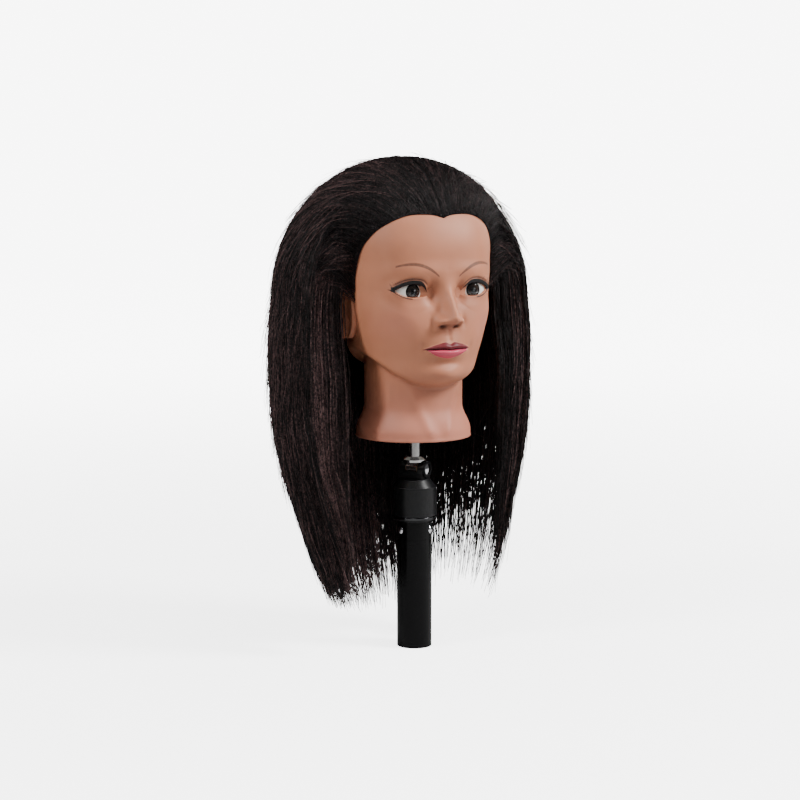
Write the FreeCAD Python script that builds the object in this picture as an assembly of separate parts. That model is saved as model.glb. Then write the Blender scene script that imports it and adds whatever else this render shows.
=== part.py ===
"""Mannequin training head with long rooted hair, on the tilting clamp at the top of a stand post.

Frame: the origin is the centre of the post tube's open lower end, +Z runs up the post and
the face looks along -Y. All sizes are in millimetres.
"""

import FreeCAD, Part
import math
import os

V = FreeCAD.Vector
UP = V(0, 0, 1)

# ---- post ----
TUBE_OD = 35.0
TUBE_WALL = 1.2
TUBE_TOP = 129.0
MARK_HEIGHT = 110.0
MARK_WIDTH = 0.8
MARK_DEPTH = 0.2
INSERT_DEPTH = 25.0
INSERT_FIT = 0.05
LIP_OD = 39.0
LIP_THICK = 2.0
RING_OD = 44.0
RING_THICK = 3.0
RIVET_COUNT = 3
RIVET_DROP = 9.0
RIVET_HEAD_R = 4.0
RIVET_HEAD_H = 2.0
RIVET_SHANK_R = 2.0
RIVET_GRIP = 6.0
RIVET_FIT = 0.05
RIVET_START = 309.0

# ---- swivel ----
SPINDLE_R = 5.0
RUNNING_FIT = 0.05
FACE_GAP = 0.1
SWIVEL_GAP = 0.3
SPINDLE_GRIP = 14.0
SPINDLE_TAIL = 3.0
NUT_FLATS = 17.0
NUT_THICK = 8.0
WAVE_OD = 22.0
WAVE_THICK = 1.6
THRUST_OD = 30.0
THRUST_THICK = 0.8

# ---- fork housing ----
HOUSING_OD = 45.0
HOUSING_HEIGHT = 29.0
SHOULDER_HEIGHT = 7.5
SHOULDER_TOP_R = 15.5
FORK_TURN = -57.0
PIVOT_RISE = 47.0
EAR_OUTER = 13.0
EAR_HALF = 8.0
EAR_TOP_R = 6.6
EAR_TAPER = 5.0
EDGE_ROUND = 1.0

# ---- tilt bolt ----
BOLT_R = 3.0
KNUCKLE_WIDTH = 11.4
KNUCKLE_R = 7.0
KNUCKLE_FLOOR_GAP = 0.6
FRICTION_DISC_R = 6.2
FRICTION_DISC_THICK = 1.0
BOLT_RING_R = 8.0
BOLT_RING_THICK = 2.6
BOLT_HEAD_R = 5.6
BOLT_HEAD_DOME = 1.4
TILT_NUT_FLATS = 10.0
TILT_NUT_THICK = 4.0
NUT_POCKET_FIT = 0.1

# ---- stem ----
FLANGE_R = 11.6
FLANGE_EDGE = 2.2
FLANGE_CONE = 2.8
FLANGE_OVER_EAR = 0.4
WEB_HALF = 5.0
PIN_R = 6.0
PIN_SEAT = 4.0
PIN_CHAMFER = 1.0
PIN_INTO_HEAD = 58.0
NECK_OVER_FLANGE = 21.0

# ---- sleeve and neck fittings ----
SLEEVE_R = 9.5
SLEEVE_CAP = 2.0
SLIDING_FIT = 0.04
SOCKET_R = 14.0
SOCKET_CAP = 2.5
PLUG_INSET = 3.0
PLUG_THICK = 12.0
PLUG_GAP = 0.3

# ---- head ----
HEAD_WIDTH = 152.0
NECK_RIM_R = 57.5
NECK_R = 49.0
HEAD_HEIGHT = 257.0
SHELL_WALL = 4.0
FOAM_GAP = 1.0
FOAM_THICK = 12.0
NOSE_HALF = 14.0
NOSE_DEPTH = 20.0
EAR_LENGTH = 54.0
EAR_DEPTH = 30.0
EAR_THICK = 14.0

# ---- eyes ----
EYE_R = 22.0
EYE_RIM_R = 18.0
EYE_BACK = 10.0
EYE_SPACING = 66.0
EYE_HEIGHT = 148.7
EYE_SET_BACK = 39.0
EYE_FIT = 0.3
IRIS_R = 7.2
IRIS_THICK = 0.6
IRIS_POCKET = 2.8
CORNEA_BULGE = 0.8
LASH_R = 20.0
LASH_RISE = 8.0
LASH_HALF = 13.0
LASH_THICK = 0.8
LASH_REACH = 5.0
LASH_CLEAR = 1.0

# ---- hair ----
HAIR_WIDTH = 278.0
HAIR_BACK = 136.0
HAIR_MIDDLE = 28.0
HAIR_FRONT = -48.0
HAIR_TOP = 494.0
HAIR_SPLIT = 342.0
HAIR_TIPS = 44.0
HAIR_THICK = 6.0
HAIR_ON_SCALP = 1.5
LOCK_GAP = 1.5
FACE_WINDOW_HALF = 69.0
FACE_WINDOW_TOP = 436.0
LOCK_FRONT = -45.0
LOCK_SPLIT = 35.0

# ---- heights worked out from the sizes above ----
TUBE_R = TUBE_OD / 2
TUBE_BORE_R = TUBE_R - TUBE_WALL
INSERT_BOTTOM = TUBE_TOP - INSERT_DEPTH
LIP_TOP = TUBE_TOP + LIP_THICK
RING_TOP = LIP_TOP + RING_THICK
HOUSING_BOTTOM = RING_TOP + SWIVEL_GAP
HOUSING_TOP = HOUSING_BOTTOM + HOUSING_HEIGHT
SHOULDER_TOP = HOUSING_TOP + SHOULDER_HEIGHT
PIVOT_Z = HOUSING_BOTTOM + PIVOT_RISE
PIVOT = V(0, 0, PIVOT_Z)
SLOT_HALF = KNUCKLE_WIDTH / 2 + FRICTION_DISC_THICK + FACE_GAP
FLANGE_BOTTOM = PIVOT_Z + EAR_TOP_R + FLANGE_OVER_EAR
FLANGE_TOP = FLANGE_BOTTOM + FLANGE_EDGE + FLANGE_CONE
NECK_Z = FLANGE_TOP + NECK_OVER_FLANGE
PIN_TOP = NECK_Z + PIN_INTO_HEAD
SLEEVE_BOTTOM = NECK_Z + 1.0
SLEEVE_TOP = PIN_TOP + FACE_GAP + SLEEVE_CAP
SOCKET_TOP = SLEEVE_TOP + FACE_GAP + SOCKET_CAP
PLUG_BOTTOM = NECK_Z + PLUG_INSET
PLUG_TOP = PLUG_BOTTOM + PLUG_THICK
EYE_Z = NECK_Z + EYE_HEIGHT
RIVET_Z = TUBE_TOP - RIVET_DROP
AXLE = V(math.cos(math.radians(FORK_TURN)), math.sin(math.radians(FORK_TURN)), 0)

# Head outline, as shares of the head's height and width:
# height, front, back, half width, front roundness (2 is an ellipse, more is squarer).
# The depths are in shares of the head's width too.
HEAD_OUTLINE = [
    (0.225, -0.368, 0.382, 0.355, 2.1),
    (0.262, -0.452, 0.430, 0.385, 2.0),
    (0.320, -0.440, 0.500, 0.410, 2.0),
    (0.385, -0.478, 0.570, 0.430, 2.0),
    (0.450, -0.470, 0.640, 0.448, 2.0),
    (0.520, -0.440, 0.700, 0.468, 2.1),
    (0.575, -0.415, 0.728, 0.482, 2.1),
    (0.640, -0.455, 0.742, 0.496, 2.2),
    (0.735, -0.445, 0.742, 0.500, 2.2),
    (0.835, -0.395, 0.700, 0.474, 2.1),
    (0.915, -0.300, 0.610, 0.405, 2.0),
    (0.965, -0.170, 0.490, 0.300, 2.0),
    (0.995, 0.000, 0.330, 0.150, 2.0),
]

# Above this share of the height, a grown or shrunk outline moves up or down as well.
CROWN_SHARE = 0.80

# Hair outline below the crown, as shares of the hair's width: height, half width.
LENGTH_OUTLINE = [
    (1.00, 0.494),
    (0.86, 0.500),
    (0.66, 0.494),
    (0.45, 0.440),
    (0.24, 0.365),
    (0.08, 0.280),
    (0.00, 0.230),
]

# Hair outline over the crown: height from split to top, front, back, half width.
CROWN_OUTLINE = [
    (0.00, 1.00, 1.00, 0.494),
    (0.25, 1.05, 1.00, 0.486),
    (0.50, 1.12, 0.985, 0.446),
    (0.72, 1.15, 0.91, 0.372),
    (0.88, 0.95, 0.78, 0.280),
    (0.97, 0.55, 0.58, 0.175),
    (1.00, 0.10, 0.42, 0.090),
]


def save(name, shape):
    """Write one node, after dropping seams left by joining."""
    shape.exportStep("parts/" + name + ".step")


def cylinder(radius, low, high):
    """A solid round bar along Z between two heights."""
    return Part.makeCylinder(radius, high - low, V(0, 0, low))


def tube(outer, inner, low, high):
    """A round tube along Z; the cutter runs past both ends."""
    return cylinder(outer, low, high).cut(cylinder(inner, low - 1, high + 1))


def cone(low_r, high_r, low, high):
    """A cone frustum along Z."""
    return Part.makeCone(low_r, high_r, high - low, V(0, 0, low))


def hexagon(flats, low, high):
    """A hexagonal bar along Z."""
    corner = flats / math.sqrt(3)
    points = [
        V(corner * math.cos(math.pi * i / 3), corner * math.sin(math.pi * i / 3), low)
        for i in range(7)
    ]
    return Part.Face(Part.makePolygon(points)).extrude(V(0, 0, high - low))


def on_axle(shape):
    """Carry a shape drawn with +X as the tilt axle and Z = 0 at the pivot to its place."""
    placed = shape.copy()
    placed.rotate(V(0, 0, 0), UP, FORK_TURN)
    placed.translate(PIVOT)
    return placed


def axle_bar(radius, start, end):
    """A round bar along the tilt axle between two distances from the post's axis."""
    return on_axle(Part.makeCylinder(radius, end - start, V(start, 0, 0), V(1, 0, 0)))


def axle_box(start, end, half, low, high):
    """A box along the tilt axle, in heights from the pivot."""
    return on_axle(Part.makeBox(end - start, 2 * half, high - low, V(start, -half, low)))


# ---- post ----


def rivet_places():
    """The turn of each rivet about the post."""
    return [RIVET_START + 360.0 / RIVET_COUNT * i for i in range(RIVET_COUNT)]


def rivet_cutters():
    """Radial holes that the rivet shanks pass through."""
    hole = Part.makeCylinder(
        RIVET_SHANK_R + RIVET_FIT, RIVET_GRIP + 1, V(TUBE_R - RIVET_GRIP, 0, RIVET_Z), V(1, 0, 0)
    )
    holes = []
    for turn in rivet_places():
        one = hole.copy()
        one.rotate(V(0, 0, 0), UP, turn)
        holes.append(one)
    return holes


def post_tube():
    """Tube with a scored line that shows how far it goes into the column's clamp."""
    mark = tube(TUBE_R + 1, TUBE_R - MARK_DEPTH, MARK_HEIGHT, MARK_HEIGHT + MARK_WIDTH)
    return tube(TUBE_R, TUBE_BORE_R, 0, TUBE_TOP).cut(rivet_cutters()).cut(mark)


def post_insert():
    """Moulded bush that closes the tube, with the collar lip that sits on the tube's end."""
    body = cylinder(TUBE_BORE_R - INSERT_FIT, INSERT_BOTTOM, TUBE_TOP)
    lip = cylinder(LIP_OD / 2, TUBE_TOP, LIP_TOP)
    bush = body.fuse(lip).cut(cylinder(SPINDLE_R + RUNNING_FIT, INSERT_BOTTOM - 1, LIP_TOP + 1))
    return bush.cut(rivet_cutters())


def rivets():
    """Dome-headed rivets through the tube into the insert."""
    sphere_r = (RIVET_HEAD_R**2 + RIVET_HEAD_H**2) / (2 * RIVET_HEAD_H)
    ball = Part.makeSphere(sphere_r, V(TUBE_R + RIVET_HEAD_H - sphere_r, 0, RIVET_Z))
    head = ball.common(
        Part.makeCylinder(RIVET_HEAD_R, RIVET_HEAD_H + 1, V(TUBE_R - 1, 0, RIVET_Z), V(1, 0, 0))
    )
    head = head.cut(cylinder(TUBE_R, RIVET_Z - TUBE_R, RIVET_Z + TUBE_R))
    shank = Part.makeCylinder(
        RIVET_SHANK_R, RIVET_GRIP, V(TUBE_R - RIVET_GRIP, 0, RIVET_Z), V(1, 0, 0)
    )
    one = head.fuse(shank).removeSplitter()
    group = []
    for turn in rivet_places():
        rivet = one.copy()
        rivet.rotate(V(0, 0, 0), UP, turn)
        group.append(rivet)
    return Part.makeCompound(group)


def swivel_ring():
    """Chromed ring that the fork housing turns on."""
    ring = tube(RING_OD / 2, SPINDLE_R + SWIVEL_GAP, LIP_TOP, RING_TOP)
    rims = [e for e in ring.Edges if e.Length > math.pi * RING_OD * 0.9 and e.Closed]
    return ring.makeFillet(RING_THICK / 3, rims)


# ---- swivel and fork ----


def swivel_spindle():
    low = INSERT_BOTTOM - FACE_GAP - WAVE_THICK - NUT_THICK - SPINDLE_TAIL
    return cylinder(SPINDLE_R, low, HOUSING_BOTTOM + SPINDLE_GRIP)


def wave_washer():
    top = INSERT_BOTTOM - FACE_GAP
    return tube(WAVE_OD / 2, SPINDLE_R + RUNNING_FIT, top - WAVE_THICK, top)


def swivel_nut():
    top = INSERT_BOTTOM - FACE_GAP - WAVE_THICK
    nut = hexagon(NUT_FLATS, top - NUT_THICK, top)
    return nut.cut(cylinder(SPINDLE_R, top - NUT_THICK - 1, top + 1))


def thrust_washer():
    low = RING_TOP + FACE_GAP
    return tube(THRUST_OD / 2, SPINDLE_R + RUNNING_FIT, low, low + THRUST_THICK)


def fork_profile():
    """Side outline of the two ears, seen along the axle: straight flanks, tapered to a round top."""
    low = SHOULDER_TOP - SHOULDER_HEIGHT - PIVOT_Z
    left_foot, left_knee = V(0, -EAR_HALF, low), V(0, -EAR_HALF, -EAR_TAPER)
    right_foot, right_knee = V(0, EAR_HALF, low), V(0, EAR_HALF, -EAR_TAPER)
    left, top, right = V(0, -EAR_TOP_R, 0), V(0, 0, EAR_TOP_R), V(0, EAR_TOP_R, 0)
    edges = [
        Part.LineSegment(left_foot, left_knee).toShape(),
        Part.LineSegment(left_knee, left).toShape(),
        Part.Arc(left, top, right).toShape(),
        Part.LineSegment(right, right_knee).toShape(),
        Part.LineSegment(right_knee, right_foot).toShape(),
        Part.LineSegment(right_foot, left_foot).toShape(),
    ]
    return Part.Face(Part.Wire(edges))


def fork_housing():
    """Round housing, sloping shoulder and two ears, with the slot that the knuckle turns in."""
    barrel = cylinder(HOUSING_OD / 2, HOUSING_BOTTOM, HOUSING_TOP)
    shoulder = cone(HOUSING_OD / 2 - EDGE_ROUND, SHOULDER_TOP_R, HOUSING_TOP, SHOULDER_TOP)
    block = fork_profile()
    block.translate(V(-EAR_OUTER, 0, 0))
    ears = on_axle(block.extrude(V(2 * EAR_OUTER, 0, 0)))
    body = barrel.fuse([shoulder, ears]).removeSplitter()
    slot_bottom = axle_bar(KNUCKLE_R + KNUCKLE_FLOOR_GAP, -SLOT_HALF, SLOT_HALF)
    slot_side = KNUCKLE_R + KNUCKLE_FLOOR_GAP
    slot = axle_box(-SLOT_HALF, SLOT_HALF, slot_side + EAR_HALF, -SHOULDER_HEIGHT / 4, EAR_TOP_R + 1)
    body = body.cut([slot_bottom, slot])
    nut_pocket = hexagon(TILT_NUT_FLATS + 2 * NUT_POCKET_FIT, 0, TILT_NUT_THICK + 1)
    nut_pocket.rotate(V(0, 0, 0), V(0, 1, 0), 90)
    nut_pocket.translate(V(-EAR_OUTER - 1, 0, 0))
    thrust_seat = RING_TOP + FACE_GAP + THRUST_THICK
    return body.cut(
        [
            axle_bar(BOLT_R + RUNNING_FIT, -EAR_OUTER - 1, EAR_OUTER + 1),
            on_axle(nut_pocket),
            cylinder(THRUST_OD / 2 + SWIVEL_GAP, HOUSING_BOTTOM - 1, thrust_seat),
            cylinder(SPINDLE_R, HOUSING_BOTTOM - 1, HOUSING_BOTTOM + SPINDLE_GRIP),
        ]
    )


# ---- tilt bolt ----


def tilt_bolt():
    """Dome-headed bolt, its head in the ring on the outside of one ear."""
    shank = axle_bar(BOLT_R, -EAR_OUTER, EAR_OUTER)
    rim = axle_bar(BOLT_HEAD_R, EAR_OUTER, EAR_OUTER + BOLT_RING_THICK)
    sphere_r = (BOLT_HEAD_R**2 + BOLT_HEAD_DOME**2) / (2 * BOLT_HEAD_DOME)
    centre = EAR_OUTER + BOLT_RING_THICK + BOLT_HEAD_DOME - sphere_r
    ball = on_axle(Part.makeSphere(sphere_r, V(centre, 0, 0)))
    face = EAR_OUTER + BOLT_RING_THICK
    dome = ball.common(axle_bar(BOLT_HEAD_R, face, face + BOLT_HEAD_DOME + 1))
    return shank.fuse([rim, dome]).removeSplitter()


def bolt_ring():
    """Moulded ring round the bolt's head."""
    ring = axle_bar(BOLT_RING_R, EAR_OUTER, EAR_OUTER + BOLT_RING_THICK)
    return ring.cut(axle_bar(BOLT_HEAD_R + RUNNING_FIT, EAR_OUTER - 1, EAR_OUTER + BOLT_RING_THICK + 1))


def tilt_nut():
    nut = hexagon(TILT_NUT_FLATS, 0, TILT_NUT_THICK)
    nut.rotate(V(0, 0, 0), V(0, 1, 0), 90)
    nut.translate(V(-EAR_OUTER, 0, 0))
    return on_axle(nut).cut(axle_bar(BOLT_R, -EAR_OUTER - 1, EAR_OUTER))


def friction_discs():
    """One nylon disc on each side of the knuckle."""
    inner = KNUCKLE_WIDTH / 2 + FACE_GAP
    hole = axle_bar(BOLT_R + RUNNING_FIT, -SLOT_HALF - 1, SLOT_HALF + 1)
    right = axle_bar(FRICTION_DISC_R, inner, inner + FRICTION_DISC_THICK).cut(hole)
    left = axle_bar(FRICTION_DISC_R, -inner - FRICTION_DISC_THICK, -inner).cut(hole)
    return Part.makeCompound([right, left])


# ---- stem ----


def stem_knuckle():
    """Knuckle that turns on the tilt bolt, with the round flange that carries the pin."""
    half = KNUCKLE_WIDTH / 2
    eye = axle_bar(KNUCKLE_R, -half, half)
    web = axle_box(-half, half, WEB_HALF, 0, FLANGE_BOTTOM - PIVOT_Z + FLANGE_EDGE)
    edge = cylinder(FLANGE_R, FLANGE_BOTTOM, FLANGE_BOTTOM + FLANGE_EDGE)
    slope = cone(FLANGE_R, PIN_R + PIN_CHAMFER, FLANGE_BOTTOM + FLANGE_EDGE, FLANGE_TOP)
    body = eye.fuse([web, edge, slope]).removeSplitter()
    bolt_hole = axle_bar(BOLT_R + RUNNING_FIT, -half - 1, half + 1)
    return body.cut([bolt_hole, cylinder(PIN_R, FLANGE_TOP - PIN_SEAT, FLANGE_TOP + 1)])


def stem_pin():
    """Steel pin that the head sits on, pressed into the flange."""
    straight = cylinder(PIN_R, FLANGE_TOP - PIN_SEAT, PIN_TOP - PIN_CHAMFER)
    point = cone(PIN_R, PIN_R - PIN_CHAMFER, PIN_TOP - PIN_CHAMFER, PIN_TOP)
    return straight.fuse(point).removeSplitter()


def pin_sleeve():
    """Plastic cup that turns on the pin; the head's socket slides over it."""
    cup = cylinder(SLEEVE_R, SLEEVE_BOTTOM, SLEEVE_TOP)
    return cup.cut(cylinder(PIN_R + RUNNING_FIT, SLEEVE_BOTTOM - 1, PIN_TOP + FACE_GAP))


# ---- head ----


def oval_wire(height, front, back, middle, half, roundness):
    """Closed smooth outline through points on two half ovals that meet at the widest place.

    The outline starts and ends at the back, so that no seam crosses the face.
    """
    points = []
    count = 20
    for i in range(count):
        angle = math.pi + 2 * math.pi * i / count
        power = 2 / roundness if math.cos(angle) > 0 else 1.0
        across = math.copysign(abs(math.sin(angle)) ** power, math.sin(angle))
        along = abs(math.cos(angle)) ** power
        reach = front - middle if math.cos(angle) > 0 else back - middle
        points.append(V(half * across, middle + reach * along, height))
    curve = Part.BSplineCurve()
    curve.interpolate(Points=points, PeriodicFlag=True)
    return Part.Wire(curve.toShape())


def head_form(grow):
    """Neck, jaw and skull as one smooth body, grown outwards by some millimetres."""
    wires = []
    flare = [(0.0, NECK_RIM_R), (5.0, NECK_RIM_R - 0.6), (18.0, NECK_R + 2.4), (33.0, NECK_R)]
    for rise, radius in flare:
        reach = radius + grow
        wires.append(oval_wire(NECK_Z + rise, -reach, reach, 0, reach, 2.0))
    for share, front, back, half, roundness in HEAD_OUTLINE:
        middle = (0.35 * front + 0.25 * back) * HEAD_WIDTH
        height = NECK_Z + share * HEAD_HEIGHT
        if share > CROWN_SHARE:
            height += grow * (share - CROWN_SHARE) / (1 - CROWN_SHARE)
        wires.append(
            oval_wire(
                height,
                front * HEAD_WIDTH - grow,
                back * HEAD_WIDTH + grow,
                middle,
                half * HEAD_WIDTH + grow,
                roundness,
            )
        )
    return Part.makeLoft(wires, True, False)


def stretched_ball(size_x, size_y, size_z, place):
    """An ellipsoid with the given full sizes."""
    matrix = FreeCAD.Matrix()
    matrix.scale(size_x / 2, size_y / 2, size_z / 2)
    ball = Part.makeSphere(1.0).transformGeometry(matrix)
    ball.translate(place)
    return ball


def nose():
    """Wedge from between the eyes to the tip, widening to the nostrils."""
    face = HEAD_OUTLINE[4][1] * HEAD_WIDTH
    sections = []
    steps = [(2.0, 0.42, 0.16), (-12.0, 0.50, 0.55), (-24.0, 0.72, 0.95), (-33.0, 0.95, 0.62)]
    for drop, width, reach in steps:
        half = NOSE_HALF * width
        sections.append(
            oval_wire(EYE_Z + drop, face - NOSE_DEPTH * reach, face + 12, face + 2, half, 1.6)
        )
    return Part.makeLoft(sections, True, False)


def lips():
    """Two soft rolls across the mouth."""
    face = HEAD_OUTLINE[3][1] * HEAD_WIDTH
    mouth_z = NECK_Z + 0.37 * HEAD_HEIGHT
    upper = stretched_ball(46, 22, 9.5, V(0, face + 6.5, mouth_z + 3.2))
    lower = stretched_ball(40, 24, 11, V(0, face + 7.5, mouth_z - 3.6))
    return [upper, lower]


def ears():
    """Outer ears as tilted discs on the sides of the head."""
    pair = []
    for side in (-1, 1):
        ear = stretched_ball(EAR_THICK, EAR_DEPTH, EAR_LENGTH, V(0, 0, 0))
        ear.rotate(V(0, 0, 0), V(0, 0, 1), side * 18)
        ear.translate(V(side * (HEAD_WIDTH * 0.482), 14, EYE_Z - 18))
        pair.append(ear)
    return pair


def eye_centres():
    return [V(side * EYE_SPACING / 2, -EYE_SET_BACK, EYE_Z) for side in (-1, 1)]


def eye_bar(centre, radius, start, end):
    """A round bar along the line of sight, in distances in front of the eye's centre."""
    return Part.makeCylinder(radius, end - start, centre + V(0, -start, 0), V(0, -1, 0))


def head_shell():
    """Moulded vinyl head with its features, hollow, open at the neck."""
    shell = head_form(0)
    for feature in [nose()] + lips() + ears():
        shell = shell.fuse(feature)
    shell = shell.cut(head_form(-SHELL_WALL))
    for centre in eye_centres():
        shell = shell.cut(eye_bar(centre, EYE_RIM_R + EYE_FIT, 0, 2 * EYE_R))
    return shell


def base_plug():
    """Disc that closes the neck and holds the socket."""
    slab = cylinder(NECK_RIM_R * 2, PLUG_BOTTOM, PLUG_TOP)
    disc = head_form(-SHELL_WALL - PLUG_GAP).common(slab)
    return disc.cut(cylinder(SOCKET_R, PLUG_BOTTOM - 1, PLUG_TOP + 1))


def neck_socket():
    """Cup in the neck that slides over the sleeve."""
    cup = cylinder(SOCKET_R, PLUG_BOTTOM, SOCKET_TOP)
    return cup.cut(cylinder(SLEEVE_R + SLIDING_FIT, PLUG_BOTTOM - 1, SLEEVE_TOP + FACE_GAP))


def foam_core():
    """Light foam that lines the face and skull above the plug."""
    lining = head_form(-SHELL_WALL - FOAM_GAP).cut(head_form(-SHELL_WALL - FOAM_GAP - FOAM_THICK))
    lining = lining.common(cylinder(HEAD_WIDTH * 2, PLUG_TOP + FOAM_GAP, NECK_Z + HEAD_HEIGHT))
    for centre in eye_centres():
        lining = lining.cut(eye_bar(centre, EYE_RIM_R + FOAM_GAP, EYE_BACK - FOAM_GAP, 2 * EYE_R))
    return lining


# ---- eyes ----


def eye_whites():
    """Two domed acrylic eyes, each with a pocket for its iris."""
    pair = []
    for centre in eye_centres():
        ball = Part.makeSphere(EYE_R, centre)
        dome = ball.common(eye_bar(centre, EYE_RIM_R, EYE_BACK, EYE_R + 1))
        pair.append(dome.cut(eye_bar(centre, IRIS_R, EYE_R - IRIS_POCKET, EYE_R + 1)))
    return Part.makeCompound(pair)


def irises():
    start = EYE_R - IRIS_POCKET
    discs = [eye_bar(centre, IRIS_R, start, start + IRIS_THICK) for centre in eye_centres()]
    return Part.makeCompound(discs)


def corneas():
    """Clear domes over the irises."""
    start = EYE_R - IRIS_POCKET + IRIS_THICK
    pair = []
    for centre in eye_centres():
        ball = Part.makeSphere(EYE_R, centre + V(0, -CORNEA_BULGE, 0))
        pair.append(ball.common(eye_bar(centre, IRIS_R, start, EYE_R + CORNEA_BULGE + 1)))
    return Part.makeCompound(pair)


def lashes():
    """Thin curved strips over the upper lids."""
    strips = []
    for centre in eye_centres():
        low = centre + V(0, -EYE_R - LASH_CLEAR, LASH_RISE - LASH_R)
        outer = Part.makeCylinder(LASH_R + LASH_THICK, LASH_REACH, low, V(0, -1, 0))
        inner = Part.makeCylinder(LASH_R, LASH_REACH + 2, low + V(0, 1, 0), V(0, -1, 0))
        keep = Part.makeBox(2 * LASH_HALF, LASH_REACH + 4, LASH_R + LASH_THICK)
        keep.translate(low + V(-LASH_HALF, -LASH_REACH - 2, LASH_R / 3))
        strips.append(outer.cut(inner).common(keep))
    return Part.makeCompound(strips)


# ---- hair ----


def face_window():
    """The arch that the hair leaves open for the face, as a cutter that runs forward."""
    reach = HAIR_WIDTH
    box = Part.makeBox(
        2 * FACE_WINDOW_HALF, reach, FACE_WINDOW_TOP - FACE_WINDOW_HALF, V(-FACE_WINDOW_HALF, -reach, 0)
    )
    arch = Part.makeCylinder(
        FACE_WINDOW_HALF, reach, V(0, 0, FACE_WINDOW_TOP - FACE_WINDOW_HALF), V(0, -1, 0)
    )
    return box.fuse(arch)


def crown_form(inset):
    """Outside of the hair over the skull, drawn in by some millimetres."""
    wires = []
    for share, front, back, half in CROWN_OUTLINE:
        height = HAIR_SPLIT + share * (HAIR_TOP - inset - HAIR_SPLIT)
        wires.append(
            oval_wire(
                height,
                HAIR_FRONT * front + inset,
                HAIR_BACK * back - inset,
                HAIR_MIDDLE,
                HAIR_WIDTH * half - inset,
                2.0,
            )
        )
    return Part.makeLoft(wires, True, False)


def hair_crown():
    """Hair that lies on the skull, cut back where the face is."""
    hair = crown_form(0).cut(crown_form(HAIR_THICK)).cut(head_form(HAIR_ON_SCALP))
    around_ears = [
        stretched_ball(EAR_THICK + 6, EAR_DEPTH + 8, EAR_LENGTH + 8, V(side * HEAD_WIDTH * 0.482, 14, EYE_Z - 18))
        for side in (-1, 1)
    ]
    return hair.cut([face_window()] + around_ears)


def length_form(inset):
    """Outside of the hanging hair, drawn in by some millimetres."""
    wires = []
    depth = (HAIR_BACK - HAIR_MIDDLE) / (HAIR_WIDTH / 2)
    for share, half in LENGTH_OUTLINE:
        reach = HAIR_WIDTH * half - inset
        height = HAIR_TIPS + share * (HAIR_SPLIT - LOCK_GAP - HAIR_TIPS)
        front = HAIR_MIDDLE - reach * depth * 0.70
        wires.append(
            oval_wire(height, front, HAIR_MIDDLE + reach * depth, HAIR_MIDDLE, reach, 2.0)
        )
    return Part.makeLoft(wires, True, False)


def length_sector(start, end):
    """A wedge of the hanging hair between two turns about the hair's middle, in degrees."""
    reach = HAIR_WIDTH * 2
    points = [V(0, 0, 0)]
    for angle in (start, (start + end) / 2, end):
        turn = math.radians(angle)
        points.append(V(reach * math.cos(turn), reach * math.sin(turn), 0))
    points.append(V(0, 0, 0))
    wedge = Part.Face(Part.makePolygon(points)).extrude(V(0, 0, HAIR_TOP))
    side = math.radians((start + end) / 2)
    wedge.translate(V(math.cos(side) * LOCK_GAP, HAIR_MIDDLE + math.sin(side) * LOCK_GAP, 0))
    return wedge


def hair_lengths():
    """The three hanging curtains: left, back and right."""
    shell = length_form(0).cut(length_form(HAIR_THICK)).cut(face_window())
    shell = shell.cut(head_form(HAIR_ON_SCALP))
    return {
        "hair_back": shell.common(length_sector(LOCK_SPLIT, 180 - LOCK_SPLIT)),
        "hair_left": shell.common(length_sector(180 - LOCK_SPLIT, 180 - LOCK_FRONT)),
        "hair_right": shell.common(length_sector(LOCK_FRONT, LOCK_SPLIT)),
    }


def main():
    os.makedirs("parts", exist_ok=True)
    nodes = {
        "post_tube": post_tube(),
        "post_insert": post_insert(),
        "rivets": rivets(),
        "swivel_ring": swivel_ring(),
        "swivel_spindle": swivel_spindle(),
        "wave_washer": wave_washer(),
        "swivel_nut": swivel_nut(),
        "thrust_washer": thrust_washer(),
        "fork_housing": fork_housing(),
        "tilt_bolt": tilt_bolt(),
        "bolt_ring": bolt_ring(),
        "tilt_nut": tilt_nut(),
        "friction_discs": friction_discs(),
        "stem_knuckle": stem_knuckle(),
        "stem_pin": stem_pin(),
        "pin_sleeve": pin_sleeve(),
        "neck_socket": neck_socket(),
        "base_plug": base_plug(),
        "foam_core": foam_core(),
        "head_shell": head_shell(),
        "eye_whites": eye_whites(),
        "irises": irises(),
        "corneas": corneas(),
        "lashes": lashes(),
        "hair_crown": hair_crown(),
    }
    nodes.update(hair_lengths())
    for name, shape in nodes.items():
        save(name, shape)
        box = shape.BoundBox
        print(
            f"{name}: {len(shape.Solids)} solids, {shape.Volume / 1000:.2f} cm3, valid {shape.isValid()}, "
            f"x {box.XMin:.1f} {box.XMax:.1f} y {box.YMin:.1f} {box.YMax:.1f} z {box.ZMin:.1f} {box.ZMax:.1f}"
        )


main()
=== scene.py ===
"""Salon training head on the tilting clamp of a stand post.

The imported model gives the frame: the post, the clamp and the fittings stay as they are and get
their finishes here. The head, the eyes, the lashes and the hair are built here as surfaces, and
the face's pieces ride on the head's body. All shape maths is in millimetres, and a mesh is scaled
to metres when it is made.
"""

import logging
import math
from dataclasses import dataclass, field
from enum import Enum

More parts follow.
